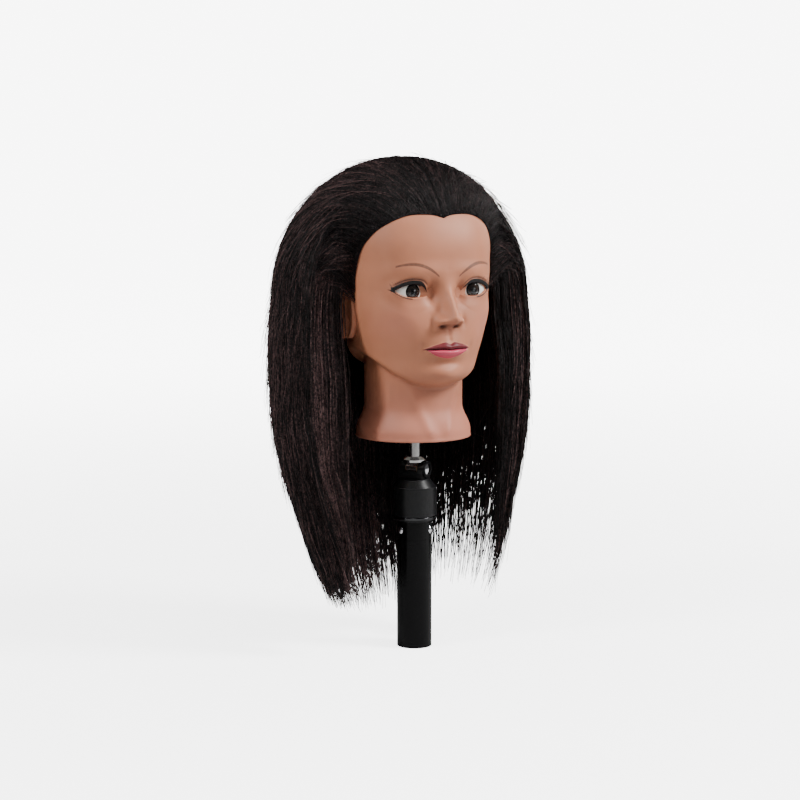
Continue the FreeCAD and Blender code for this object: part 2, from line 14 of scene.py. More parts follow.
import bpy
import numpy as np
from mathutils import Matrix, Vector


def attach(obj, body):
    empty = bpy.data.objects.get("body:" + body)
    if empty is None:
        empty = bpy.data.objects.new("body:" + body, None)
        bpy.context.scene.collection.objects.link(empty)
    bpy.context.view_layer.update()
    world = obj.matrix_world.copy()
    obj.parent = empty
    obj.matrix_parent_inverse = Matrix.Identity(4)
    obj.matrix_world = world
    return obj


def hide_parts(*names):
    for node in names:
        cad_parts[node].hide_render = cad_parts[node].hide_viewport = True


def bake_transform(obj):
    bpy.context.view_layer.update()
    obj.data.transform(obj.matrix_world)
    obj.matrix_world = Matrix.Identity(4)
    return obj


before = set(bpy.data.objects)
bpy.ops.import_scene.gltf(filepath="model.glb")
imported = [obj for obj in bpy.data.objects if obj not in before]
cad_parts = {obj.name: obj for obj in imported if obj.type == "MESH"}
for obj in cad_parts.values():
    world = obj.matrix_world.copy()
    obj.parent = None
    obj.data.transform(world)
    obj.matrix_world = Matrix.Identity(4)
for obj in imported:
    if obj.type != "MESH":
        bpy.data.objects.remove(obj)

Array = np.ndarray
Rows = tuple[tuple[float, float, float, float, float], ...]
MM = 0.001
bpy.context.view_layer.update()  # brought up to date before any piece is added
BARE = -5.0  # a signed distance well outside any painted feature
log = logging.getLogger("training_head")


class Side(Enum):
    """The head's own two sides, as the sign of X."""

    RIGHT = -1
    LEFT = 1


# ---------------------------------------------------------------- number helpers


def smoothstep(low: float, high: float, value: Array) -> Array:
    """Rise from 0 at low to 1 at high, flat at both ends: 3t squared less 2t cubed."""
    t = np.clip((value - low) / (high - low), 0.0, 1.0)
    return t * t * (3.0 - 2.0 * t)


def smooth_max(a: Array, b: Array, blend: float) -> Array:
    """The larger of two, rounded where they cross: half of a + b + sqrt((a - b)^2 + blend^2)."""
    return 0.5 * (a + b + np.sqrt((a - b) ** 2 + blend * blend))


def bump(value: Array, centre: float, width: float) -> Array:
    """A bell, exp(-((value - centre) / width)^2)."""
    return np.exp(-(((value - centre) / width) ** 2))


def bells(rows: Rows, across: Array, z: Array) -> Array:
    """Sum of bells over two directions: amount * exp(-((across - a) / w)^2 - ((z - b) / h)^2).

    Args:
        rows: (amount, a, w, b, h) of each bell.
        across: distances from the middle.
        z: heights.

    Returns:
        The summed bells.
    """
    return sum(amount * np.exp(-(((across - a) / w) ** 2) - ((z - b) / h) ** 2)
               for amount, a, w, b, h in rows)


def through(stations: tuple[tuple[float, float], ...], value: Array) -> Array:
    """A smooth curve through stations, held flat past its ends.

    Between two stations it is the cubic with their values and with slopes that are the average
    of the chords on either side.

    Args:
        stations: (position, value) pairs in rising order of position.
        value: positions to read the curve at.

    Returns:
        The curve's values, in the shape of value.
    """
    x, y = np.array(stations, float).T
    chord = np.diff(y) / np.diff(x)
    slope = np.concatenate(([chord[0]], 0.5 * (chord[1:] + chord[:-1]), [chord[-1]]))
    v = np.clip(value, x[0], x[-1])
    i = np.clip(np.searchsorted(x, v, side="right") - 1, 0, len(x) - 2)
    h = x[i + 1] - x[i]
    t = (v - x[i]) / h
    return (
        (2 * t**3 - 3 * t**2 + 1) * y[i]
        + (t**3 - 2 * t**2 + t) * h * slope[i]
        + (3 * t**2 - 2 * t**3) * y[i + 1]
        + (t**3 - t**2) * h * slope[i + 1]
    )


def unit(v: Array) -> Array:
    """Vectors along the last axis, scaled to length 1."""
    return v / np.maximum(np.linalg.norm(v, axis=-1, keepdims=True), 1e-12)


# ---------------------------------------------------------------- mesh helpers


def put_mesh(
    name: str,
    points: Array,
    faces: list[Array],
    attributes: dict[str, Array] | None = None,
) -> bpy.types.Object:
    """Make an object at the origin from points in millimetres.

    Args:
        name: the piece's name.
        points: (n, 3) array.
        faces: arrays of vertex numbers, (m, 4) for quads and (m, 3) for triangles.
        attributes: one value, or one row of three, for each vertex.

    Returns:
        The linked object, smooth shaded.
    """
    mesh = bpy.data.meshes.new(name)
    mesh.vertices.add(len(points))
    mesh.vertices.foreach_set("co", np.ascontiguousarray(points * MM, np.float32).ravel())
    loops = np.concatenate([f.ravel() for f in faces]).astype(np.int32)
    sizes = np.concatenate([np.full(len(f), f.shape[1]) for f in faces])
    mesh.loops.add(len(loops))
    mesh.loops.foreach_set("vertex_index", loops)
    mesh.polygons.add(len(sizes))
    starts = np.concatenate(([0], np.cumsum(sizes)[:-1])).astype(np.int32)
    mesh.polygons.foreach_set("loop_start", starts)
    mesh.polygons.foreach_set("use_smooth", np.ones(len(sizes), bool))
    mesh.update(calc_edges=True)
    for key, values in (attributes or {}).items():
        kind = "FLOAT" if values.ndim == 1 else "FLOAT_VECTOR"
        layer = mesh.attributes.new(key, kind, "POINT")
        layer.data.foreach_set("value" if values.ndim == 1 else "vector",
                               np.ascontiguousarray(values, np.float32).ravel())
    mesh.validate()
    obj = bpy.data.objects.new(name, mesh)
    bpy.context.scene.collection.objects.link(obj)
    return obj


def grid_faces(rows: int, columns: int, wrap: bool, start: int = 0) -> Array:
    """Quads of a grid of points stored row by row.

    Args:
        rows: number of rows.
        columns: number of points in a row.
        wrap: True if the last column joins the first.
        start: number of the grid's first vertex.

    Returns:
        (m, 4) vertex numbers.
    """
    i = np.arange(rows - 1)[:, None]
    j = np.arange(columns if wrap else columns - 1)[None, :]
    k = (j + 1) % columns
    quads = np.stack(np.broadcast_arrays(
        i * columns + j, i * columns + k, (i + 1) * columns + k, (i + 1) * columns + j), -1)
    return quads.reshape(-1, 4) + start


def outward(points: Array, faces: list[Array]) -> list[Array]:
    """Turn a closed surface's faces over if they point inwards, judged by its signed volume."""
    volume = 0.0
    for f in faces:
        a = points[f[:, 0]]
        for k in range(1, f.shape[1] - 1):
            volume += np.einsum("ij,ij->", a, np.cross(points[f[:, k]], points[f[:, k + 1]]))
    return faces if volume > 0 else [f[:, ::-1] for f in faces]


def capped_rings(rings: Array) -> tuple[Array, list[Array]]:
    """A closed surface from rings of points, each end closed to the middle of its ring.

    Args:
        rings: (rows, columns, 3) points, each row a closed ring.

    Returns:
        The points and the outward faces.
    """
    rows, columns = rings.shape[:2]
    points = np.concatenate([rings.reshape(-1, 3), rings[:1].mean(1), rings[-1:].mean(1)])
    j = np.arange(columns)
    k = (j + 1) % columns
    last = (rows - 1) * columns
    faces = [
        grid_faces(rows, columns, True),
        np.stack([np.full(columns, rows * columns), k, j], -1),
        np.stack([np.full(columns, rows * columns + 1), last + j, last + k], -1),
    ]
    return points, outward(points, faces)


def shell(front: Array, back: Array) -> tuple[Array, list[Array]]:
    """A closed sheet between two grids of the same shape, joined round their edges.

    Args:
        front: (rows, columns, 3) points of the outer side.
        back: the inner side, point for point.

    Returns:
        The points and the outward faces.
    """
    rows, columns = front.shape[:2]
    points = np.concatenate([front.reshape(-1, 3), back.reshape(-1, 3)])
    n = rows * columns
    index = np.arange(n).reshape(rows, columns)
    edge = np.concatenate([index[0], index[1:, -1], index[-1, -2::-1], index[-2:0:-1, 0]])
    after = np.roll(edge, -1)
    faces = [
        grid_faces(rows, columns, False),
        grid_faces(rows, columns, False, n)[:, ::-1],
        np.stack([after, edge, edge + n, after + n], -1),
    ]
    return points, outward(points, faces)


def tubes(lines: Array, radius: Array, sides: int, turn: Array) -> tuple[Array, list[Array]]:
    """Thin closed tubes, one along each line.

    At each point the tube's ring stands across the line's direction, at equal angles round it,
    and both ends are closed flat.

    Args:
        lines: (n, m, 3) points along n lines.
        radius: (n, m) radius at each point.
        sides: number of points in a ring.
        turn: (n,) angle that each tube is turned by about its line, in radians.

    Returns:
        The points and the faces.
    """
    n, m = lines.shape[:2]
    along = unit(np.gradient(lines, axis=1))
    across = unit(np.cross(along, unit(np.array([0.31, 0.23, 0.07]))[None, None]))
    third = np.cross(along, across)
    angle = turn[:, None] + 2 * np.pi * np.arange(sides)[None] / sides
    ring = (across[:, :, None] * np.cos(angle)[:, None, :, None]
            + third[:, :, None] * np.sin(angle)[:, None, :, None])
    points = (lines[:, :, None] + ring * radius[:, :, None, None]).reshape(-1, 3)
    one = grid_faces(m, sides, True)
    starts = (np.arange(n) * m * sides)[:, None, None]
    side_faces = (one[None, :, ::-1] + starts).reshape(-1, 4)
    first = (np.arange(sides)[None] + starts[:, 0]).reshape(n, sides)
    last = first[:, ::-1] + (m - 1) * sides
    return points, [side_faces[:, ::-1], first[:, ::-1], last[:, ::-1]]


# ---------------------------------------------------------------- shader helpers


class Socket:
    """One output of a shader node, with its maths written as Python expressions."""

    def __init__(self, finish: "Finish", socket: bpy.types.NodeSocket) -> None:
        """Wrap a socket of a finish's node tree."""
        self.finish = finish
        self.socket = socket

    def _math(self, operation: str, *values: "Socket | float", clamp: bool = False) -> "Socket":
        """Add a Math node for one operation on values."""
        inputs = dict(enumerate(values))
        return self.finish.node("ShaderNodeMath", inputs, operation=operation, use_clamp=clamp)

    def __add__(self, other: "Socket | float") -> "Socket":
        """self + other."""
        return self._math("ADD", self, other)

    __radd__ = __add__

    def __sub__(self, other: "Socket | float") -> "Socket":
        """self - other."""
        return self._math("SUBTRACT", self, other)

    def __rsub__(self, other: float) -> "Socket":
        """other - self."""
        return self._math("SUBTRACT", other, self)

    def __mul__(self, other: "Socket | float") -> "Socket":
        """self * other."""
        return self._math("MULTIPLY", self, other)

    __rmul__ = __mul__

    def clamped(self) -> "Socket":
        """Self held between 0 and 1."""
        return self._math("ADD", self, 0.0, clamp=True)

    def step(self, low: float, high: float) -> "Socket":
        """0 below low, 1 above high and smooth between; low may be the larger."""
        return self.finish.node(
            "ShaderNodeMapRange", {"Value": self, "From Min": low, "From Max": high},
            interpolation_type="SMOOTHSTEP")


class Finish:
    """A node material with one Principled surface, built by expressions."""

    def __init__(self, name: str) -> None:
        """Start an empty material of that name."""
        self.material = bpy.data.materials.new(name)
        self.material.use_nodes = True
        self.tree = self.material.node_tree
        self.tree.nodes.clear()

    def node(self, kind: str, inputs: dict[str | int, object] | None = None,
             output: str | int = 0, **settings: object) -> Socket:
        """Add any node.

        Args:
            kind: the node's type.
            inputs: values or sockets by input name or number.
            output: name or number of the output that is wanted.
            settings: the node's own settings, which are set first.

        Returns:
            The wanted output.
        """
        made = self.tree.nodes.new(kind)
        for key, value in settings.items():
            setattr(made, key, value)
        for key, value in (inputs or {}).items():
            self.put(made.inputs[key], value)
        return Socket(self, made.outputs[output])

    def put(self, target: bpy.types.NodeSocket, value: object) -> None:
        """Link a socket, or set a plain value, on an input."""
        if isinstance(value, Socket):
            self.tree.links.new(value.socket, target)
        elif isinstance(value, tuple) and target.type == "RGBA" and len(value) == 3:
            target.default_value = (*value, 1.0)
        else:
            target.default_value = value

    def place(self) -> Socket:
        """Object coordinates, in metres."""
        return self.node("ShaderNodeTexCoord", output="Object")

    def axis(self, place: Socket, name: str) -> Socket:
        """One of the X, Y and Z parts of a vector."""
        return self.node("ShaderNodeSeparateXYZ", {0: place}, output=name)

    def carried(self, name: str, output: str = "Fac") -> Socket:
        """The piece's own attribute of that name."""
        return self.node("ShaderNodeAttribute", output=output, attribute_name=name)

    def stretched(self, place: Socket, scale: tuple[float, float, float]) -> Socket:
        """A vector with each part multiplied."""
        return self.node("ShaderNodeVectorMath", {0: place, 1: scale}, operation="MULTIPLY")

    def noise(self, place: Socket, scale: float, detail: float = 3.0,
              roughness: float = 0.55) -> Socket:
        """Noise between 0 and 1 at a scale, in cells to the metre."""
        return self.node("ShaderNodeTexNoise", {
            "Vector": place, "Scale": scale, "Detail": detail, "Roughness": roughness})

    def mix(self, factor: Socket | float, a: object, b: object) -> Socket:
        """Colour a where factor is 0 and colour b where it is 1."""
        made = self.tree.nodes.new("ShaderNodeMix")
        made.data_type = "RGBA"
        made.clamp_factor = True
        self.put(made.inputs[0], factor)
        self.put(made.inputs[6], a)
        self.put(made.inputs[7], b)
        return Socket(self, made.outputs[2])

    def relief(self, height: Socket, depth: float, strength: float = 1.0) -> Socket:
        """A surface direction from a height, whose full range is depth metres."""
        return self.node("ShaderNodeBump", {
            "Height": height, "Distance": depth, "Strength": strength})

    def surface(self, **inputs: object) -> "Finish":
        """Close the material with a Principled surface; an underscore stands for a space."""
        made = self.tree.nodes.new("ShaderNodeBsdfPrincipled")
        for key, value in inputs.items():
            self.put(made.inputs[key.replace("_", " ")], value)
        return self.close(Socket(self, made.outputs[0]))

    def close(self, shader: Socket) -> "Finish":
        """Send a shader to the material's output."""
        out = self.tree.nodes.new("ShaderNodeOutputMaterial")
        self.tree.links.new(shader.socket, out.inputs["Surface"])
        return self

    def dress(self, obj: bpy.types.Object) -> None:
        """Put this finish on every slot of an object."""
        obj.data.materials.clear()
        obj.data.materials.append(self.material)


# ---------------------------------------------------------------- finishes


@dataclass(frozen=True)
class Skin:
    """Matte tan vinyl, with the painted brows, lips, liner and blush, and painted shade."""

    tan: tuple[float, float, float] = (0.445, 0.172, 0.094)
    deep: tuple[float, float, float] = (0.385, 0.145, 0.077)
    rose: tuple[float, float, float] = (0.470, 0.172, 0.115)
    # the brows' colour, which is also the colour of the painted shade
    brow: tuple[float, float, float] = (0.085, 0.036, 0.023)
    liner: tuple[float, float, float] = (0.0035, 0.0025, 0.0025)
    upper_lip: tuple[float, float, float] = (0.110, 0.004, 0.013)
    lower_lip: tuple[float, float, float] = (0.54, 0.055, 0.105)
    mouth: tuple[float, float, float] = (0.055, 0.005, 0.008)

    def make(self) -> Finish:
        """Skin colour with cloudy variation; paint edges come from the head's own attributes."""
        f = Finish("skin_vinyl")
        place = f.place()
        cloud = f.noise(place, 14.0, 3.0)
        pores = f.noise(place, 1500.0, 2.0)
        colour = f.mix(cloud.step(0.35, 0.7), self.tan, self.deep)
        neck = f.axis(place, "Z").step(0.300, 0.222)
        colour = f.mix(neck * 0.75, colour, self.rose)
        colour = f.mix(f.carried("blush") * 0.5, colour, self.rose)
        # painted shade: darker towards the brows' colour where the head's shade attribute says
        colour = f.mix(f.carried("shade"), colour, self.brow)
        patchy = f.noise(place, 420.0, 2.0) * 0.5 + 0.6
        brow = f.carried("brow").step(-0.5, 0.7) * patchy
        colour = f.mix(brow * 0.95, colour, self.brow)
        lips = f.carried("lips").step(-0.35, 0.45)
        upper = f.carried("upper_lip").step(-0.3, 0.5)
        lip_colour = f.mix(upper, self.lower_lip, self.upper_lip)
        colour = f.mix(lips * 0.93, colour, lip_colour)
        colour = f.mix(f.carried("mouth_line").step(0.9, 0.1) * lips, colour, self.mouth)
        colour = f.mix(f.carried("liner").step(-0.35, 0.35), colour, self.liner)
        rough = 0.50 + cloud * 0.10 - lips * (0.30 - upper * 0.22)
        normal = f.relief(pores, 0.00012, 0.35)
        return f.surface(Base_Color=colour, Roughness=rough, Normal=normal,
                         Specular_IOR_Level=0.32, Subsurface_Weight=0.10,
                         Subsurface_Radius=(0.6, 0.3, 0.18), Subsurface_Scale=0.006)


@dataclass(frozen=True)
class LidRim:
    """Lid edges: dark painted liner on the upper lid, thinner on the lower."""

    liner: tuple[float, float, float] = (0.0035, 0.0025, 0.0025)
    rim: tuple[float, float, float] = (0.30, 0.13, 0.09)

    def make(self) -> Finish:
        """Liner where the rim's own attribute says so, with a soft edge."""
        f = Finish("lid_liner")
        grain = f.noise(f.place(), 900.0, 2.0)
        dark = (f.carried("liner") + grain * 0.3 - 0.15).step(0.25, 0.75)
        return f.surface(Base_Color=f.mix(dark, self.rim, self.liner),
                         Roughness=0.42 + grain * 0.15, Specular_IOR_Level=0.25)


@dataclass(frozen=True)
class EyeGlaze:
    """Glossy moulded eye: warm white with painted shade at its edge, a ringed brown iris, a black
    pupil.
    """

    white: tuple[float, float, float] = (0.66, 0.64, 0.60)
    # corner: the colour of the painted shade towards the ball's edge
    corner: tuple[float, float, float] = (0.64, 0.52, 0.47)
    iris_dark: tuple[float, float, float] = (0.005, 0.0035, 0.003)
    iris_light: tuple[float, float, float] = (0.045, 0.028, 0.020)
    iris_radius: float = 7.5
    pupil_radius: float = 2.7

    def make(self) -> Finish:
        """Rings by the distance from the gaze axis; streaks by noise stretched along it."""
        f = Finish("eye_glaze")
        gaze = f.carried("gaze", "Vector")
        away = f.node("ShaderNodeVectorMath", {0: gaze}, "Value", operation="LENGTH")
        turn = f.node("ShaderNodeVectorMath", {0: gaze}, operation="NORMALIZE")
        streak = f.noise(turn, 9.0, 4.0, 0.7)
        ring = (away + streak * 1.3).step(3.0, 4.6) * (away + streak * 0.8).step(7.2, 5.6)
        iris = f.mix(ring * 0.85, self.iris_dark, self.iris_light)
        iris = f.mix(away.step(self.pupil_radius + 0.3, self.pupil_radius - 0.2), iris,
                     (0.003, 0.003, 0.003))
        veins = f.noise(gaze, 0.35, 5.0, 0.75)
        # painted shade: the white darkens towards corner away from the gaze axis; faint veins on
        # top
        white = f.mix(away.step(15.5, 21.0) * 0.5 + veins.step(0.62, 0.8) * 0.08,
                      self.white, self.corner)
        edge = away.step(self.iris_radius - 0.35, self.iris_radius + 0.25)
        return f.surface(Base_Color=f.mix(edge, iris, white), Roughness=0.12 + veins * 0.06,
                         Specular_IOR_Level=0.3, Coat_Weight=0.15, Coat_Roughness=0.03)


@dataclass(frozen=True)
class ClearDome:
    """Clear glaze over the iris: see-through, with gloss that grows at grazing angles."""

    def make(self) -> Finish:
        """A mix of clear and glossy by Fresnel."""
        f = Finish("clear_dome")
        clear = f.node("ShaderNodeBsdfTransparent")
        smear = f.noise(f.place(), 300.0, 2.0)
        gloss = f.node("ShaderNodeBsdfPrincipled", {
            "Base Color": (0.9, 0.92, 0.95), "Metallic": 1.0, "Roughness": smear * 0.03})
        share = f.node("ShaderNodeFresnel", {"IOR": 1.42})
        return f.close(f.node("ShaderNodeMixShader", {0: share, 1: clear, 2: gloss}))


@dataclass(frozen=True)
class HairFinish:
    """Straight dark hair whose strands differ in tone."""

    name: str
    dark: tuple[float, float, float] = (0.0018, 0.0012, 0.0012)
    light: tuple[float, float, float] = (0.160, 0.095, 0.092)
    roughness: float = 0.30

    def make(self) -> Finish:
        """Each strand's tone, broken along its length, with painted glints; ends lighter as painted
        light.
        """
        f = Finish(self.name)
        place = f.place()
        streaks = f.noise(f.stretched(place, (1.0, 1.0, 0.06)), 260.0, 3.0, 0.6)
        crimp_and_glints = f.noise(place, 520.0, 2.0, 0.6)
        # painted glints: light specks multiply each strand's tone
        tone = f.carried("tone") * (0.2 + crimp_and_glints.step(0.35, 0.72) * 1.6) + streaks * 0.24 - 0.18
        # painted light: lighter towards the ends, darker at the roots
        tone = tone * (0.6 + f.carried("along") * 0.9)
        colour = f.mix(tone.clamped(), self.dark, self.light)
        rough = self.roughness + streaks * 0.10 + crimp_and_glints * 0.20
        return f.surface(Base_Color=colour, Roughness=rough, Specular_IOR_Level=0.19,
                         Normal=f.relief(crimp_and_glints * 0.8 + streaks, 0.0016, 0.8))


@dataclass(frozen=True)
class LashFinish:
    """Black lash fibre."""

    def make(self) -> Finish:
        """Near black with faint variation."""
        f = Finish("lash_fibre")
        vary = f.noise(f.place(), 500.0, 2.0)
        colour = f.mix(vary, (0.006, 0.005, 0.005), (0.020, 0.015, 0.013))
        return f.surface(Base_Color=colour, Roughness=0.45 + vary * 0.15)


class Grain(Enum):
    """How a metal's fine lines are stretched: round the upright axis, or the same all ways."""

    ROUND = (60.0, 60.0, 2600.0)
    EVEN = (900.0, 900.0, 900.0)


@dataclass(frozen=True)
class Metal:
    """Bare or plated metal with fine tooling lines."""

    name: str
    colour: tuple[float, float, float]
    stain: tuple[float, float, float]
    roughness: float
    grain: Grain = Grain.ROUND

    def make(self) -> Finish:
        """Lines and faint stains vary the colour and the gloss."""
        f = Finish(self.name)
        place = f.place()
        lines = f.noise(f.stretched(place, self.grain.value), 1.0, 2.0)
        stains = f.noise(place, 70.0, 4.0)
        colour = f.mix(stains.step(0.45, 0.75) * 0.5, self.colour, self.stain)
        rough = self.roughness * 0.8 + lines * self.roughness * 0.4 + stains.step(0.5, 0.8) * 0.08
        return f.surface(Base_Color=colour, Metallic=1.0, Roughness=rough,
                         Normal=f.relief(lines, 0.00008, 0.4))


@dataclass(frozen=True)
class Coated:
    """Paint or moulded plastic: even colour with dust, rubbed patches and a fine surface."""

    name: str
    colour: tuple[float, float, float]
    dust: tuple[float, float, float]
    roughness: float
    specular: float = 0.45
    texture: float = 900.0
    depth: float = 0.00006

    def make(self) -> Finish:
        """Orange peel or mould texture by fine noise, rubbed patches by coarse noise."""
        f = Finish(self.name)
        place = f.place()
        fine = f.noise(place, self.texture, 2.0)
        rubbed = f.noise(place, 45.0, 4.0, 0.6)
        specks = f.noise(place, 2200.0, 1.0).step(0.72, 0.80)
        colour = f.mix(rubbed.step(0.5, 0.85) * 0.35 + specks * 0.25, self.colour, self.dust)
        rough = self.roughness + rubbed.step(0.45, 0.8) * 0.08 + fine * 0.04
        return f.surface(Base_Color=colour, Roughness=rough, Specular_IOR_Level=self.specular,
                         Normal=f.relief(fine, self.depth, 0.5))


# ---------------------------------------------------------------- head


@dataclass
class Eye:
    """Place and size of the eyes and the outline of the lids, in the eye's own plane."""

    spacing: float = 33.0
    depth: float = -39.0
    height: float = 363.0
    radius: float = 22.0
    lid: float = 1.5
    inset: float = 1.0
    upper: tuple[tuple[float, float], ...] = (
        (-14.7, -3.2), (-11.5, 2.0), (-6.5, 6.0), (0.0, 7.5), (7.0, 7.0), (14.0, 4.6),
        (20.3, 1.0))
    lower: tuple[tuple[float, float], ...] = (
        (-14.7, -3.2), (-10.0, -5.0), (-4.0, -6.0), (2.0, -6.3), (8.0, -5.6), (14.0, -3.3),
        (20.3, 1.0))

    def opening(self, across: Array, up: Array) -> Array:
        """How far inside the lid outline a point is, in millimetres; outside is negative."""
        inside = np.minimum(through(self.upper, across) - up, up - through(self.lower, across))
        ends = np.minimum(across - self.upper[0][0], self.upper[-1][0] - across)
        return np.minimum(inside, ends)

    def on_ball(self, across: Array, up: Array, radius: float) -> Array:
        """Points on a ball about the left eye's middle, from their places in its front plane."""
        x = across - self.inset
        y = self.depth - np.sqrt(np.maximum(radius**2 - x**2 - up**2, 1.0))
        return np.stack([x + self.spacing, y, up + self.height], -1)


@dataclass
class Head:
    """The vinyl head: a skull, jaw and neck as one radius about an upright spine."""

    eye: Eye
    top: float = 470.0
    dome_start: float = 395.0
    rim: float = 214.3
    rim_radius: float = 57.5
    neck_radius: float = 49.0
    wall: float = 4.0
    chin: float = 277.0
    jaw_rise: float = 30.0
    jaw_round: float = 7.5
    roundness: float = 2.12
    squareness: float = 0.42
    dome_power: float = 2.2
    blend: float = 5.0
    mouth_half: float = 25.5
    mould: Rows = (
        (-3.4, 31, 18, 363, 13),  # eye hollows
        (-8.2, 16.4, 5.8, 361, 9),  # inner corners of the eyes
        (1.7, 30, 22, 383, 7),  # brow ridges
        (2.4, 46, 15, 342, 13),  # cheekbones
        (2.0, 30, 14, 322, 16),  # cheeks
        (-1.4, 68, 14, 388, 16),  # temples
        (5.6, 0, 22, 308, 14),  # mound behind the lips
        (5.0, 0, 16, 281, 9),  # chin
        (-2.6, 0, 15, 293.5, 4),  # groove under the lower lip
        (-1.2, 25, 3.5, 309, 5),  # corners of the mouth
        (-1.2, 17.5, 2.6, 333.5, 5.0),  # creases beside the nostrils
        (-5.0, 7.4, 3.2, 329.8, 2.0),  # nostrils
        (-1.6, 0, 9, 226, 9),  # hollow at the foot of the neck
    )
    shadows: Rows = (
        (0.95, 7.6, 3.6, 329.6, 1.7),  # inside the nostrils
        (0.22, 16.6, 2.0, 334.0, 4.6),  # beside the nostrils
        (0.20, 15.0, 4.5, 363.0, 8.0),  # inner corners of the eyes
    )
    flushes: Rows = ((1.0, 46, 17, 334, 17), (0.6, 0, 9, 330, 9))
    half_width: tuple[tuple[float, float], ...] = (
        (262, 47), (272, 50), (282, 54.5), (297, 60), (313, 64.8), (330, 68.3), (348, 71.5),
        (362, 73.5), (378, 75.6), (395, 76.5))
    front: tuple[tuple[float, float], ...] = (
        (262, 50), (272, 58), (282, 66), (297, 67.5), (313, 70), (330, 71), (348, 69.5),
        (362, 68.5), (378, 70.5), (395, 70.0))
    back: tuple[tuple[float, float], ...] = (
        (262, 50), (272, 53), (282, 58), (297, 71), (313, 85), (330, 96.5), (348, 105.5),
        (362, 110.5), (378, 112.5), (395, 112.8))
    nose: tuple[tuple[float, float], ...] = (
        (321.0, 0), (325.5, 1.0), (329.3, 4.6), (332.2, 11.0), (334.8, 17.4), (337.8, 19.4),
        (341.5, 18.4), (347, 15.2), (354, 11.2), (361, 7.0), (368, 3.4), (376, 0.9), (384, 0))

    def spine(self, z: Array) -> Array:
        """Depth of the spine: under the jaw it is the neck's middle, higher up the skull's."""
        return 3.0 + 19.0 * smoothstep(300.0, 380.0, z)

    def plain(self, turn: Array, z: Array) -> Array:
        """Radius of the skull and neck without the features.

        Each level is a superellipse, (|sin| / width)^n + (|cos| / depth)^n = 1 / radius^n, with
        one depth in front and one behind. Above the dome's start all of it shrinks by
        (1 - h^p)^(1 / p), where h is the share of the dome's height and p the dome's power.
        Below the jaw line the radius drops as a rounded edge does, and the neck's circle takes
        over.

        Args:
            turn: angle from the face's middle, in radians.
            z: height.

        Returns:
            Radii in millimetres.
        """
        level = np.clip(z, 262.0, self.dome_start)
        spine = self.spine(z)
        wide = through(self.half_width, level)
        ahead = spine + through(self.front, level)
        behind = through(self.back, level) - spine
        deep = np.where(np.cos(turn) > 0, ahead, behind)
        n = self.roundness + self.squareness * smoothstep(300, 350, level) * (np.cos(turn) > 0)
        sideways, forwards = np.abs(np.sin(turn)) / wide, np.abs(np.cos(turn)) / deep
        radius = (sideways**n + forwards**n) ** (-1 / n)
        rise = np.clip((z - self.dome_start) / (self.top - self.dome_start), 0, 1)
        radius = radius * (1 - rise**self.dome_power) ** (1 / self.dome_power)
        degrees = np.degrees(np.abs(np.arctan2(np.sin(turn), np.cos(turn))))
        jaw = (self.chin + self.jaw_rise * smoothstep(12, 95, degrees)
               - 18.0 * smoothstep(100, 150, degrees))
        under = np.maximum(jaw - z, 0.0)
        drop = under**2 / (2 * self.jaw_round) * (1 + (under / self.jaw_round) ** 2)
        flare = smoothstep(247.0, 221.0, z)
        neck = self.neck_radius + (self.rim_radius - self.neck_radius) * flare
        return smooth_max(radius - drop, neck + 0 * radius, self.blend)

    def mouth_edges(self, x: Array) -> tuple[Array, Array, Array]:
        """Heights of the upper lip's top edge, the mouth line and the lower lip's bottom edge."""
        a = np.abs(x)
        middle = 307.6 - 0.8 * (a / self.mouth_half) ** 2 - 0.5 * bump(a, 0, 4)
        side = np.clip(1 - (a / self.mouth_half) ** 2, 0, 1)
        upper = middle + 6.6 * side**0.9 - 1.3 * bump(a, 0, 2.8) + 0.6 * bump(a, 5.0, 3.0)
        lower = middle - 9.0 * np.clip(1 - (a / 22.5) ** 2.2, 0, 1)
        return upper, middle, lower

    def radius(self, turn: Array, z: Array) -> Array:
        """Radius with the features: bells and ridges added to the plain radius.

        The nose is a ridge whose height runs through stations; lips are half waves between
        their edges; the lids are balls a little larger than the eyes, and inside the lid
        outline the surface sinks behind the eye.

        Args:
            turn: angle from the face's middle, in radians.
            z: height.

        Returns:
            Radii in millimetres.
        """
        r = self.plain(turn, z)
        x = r * np.sin(turn)
        a = np.abs(x)
        face = smoothstep(0.1, 0.4, np.cos(turn))
        add = bells(self.mould, a, z)
        width = 5.0 + 2.8 * bump(z, 335, 7) + 2.2 * smoothstep(355, 374, z)
        add += through(self.nose, z) * np.exp(-np.abs(x / width) ** 2.2)
        add += 7.8 * np.exp(-np.abs((a - 9.9) / 4.1) ** 2.4 - ((z - 334.4) / 4.8) ** 2)
        add += -1.0 * np.exp(-((a / 2.4) ** 2)) * smoothstep(313, 317, z) * smoothstep(328, 324, z)
        upper, middle, lower = self.mouth_edges(x)
        ends = np.clip(1 - (a / self.mouth_half) ** 3, 0, 1)
        in_upper = np.clip((z - middle) / np.maximum(upper - middle, 0.5), 0, 1)
        in_lower = np.clip((middle - z) / np.maximum(middle - lower, 0.5), 0, 1)
        add += 2.6 * ends * np.sin(np.pi * in_upper**0.8) * (in_upper < 1)
        add += 3.7 * ends * np.sin(np.pi * in_lower**0.75) * (in_lower < 1)
        add += -1.8 * ends * bump(z, middle, 0.9)
        tendon = 30.0 - (280.0 - z) * 0.36
        add += 1.5 * bump(a, tendon, 6.0) * smoothstep(282, 262, z) * smoothstep(214, 226, z)
        r = r + add * face
        return self.lids(turn, z, r)

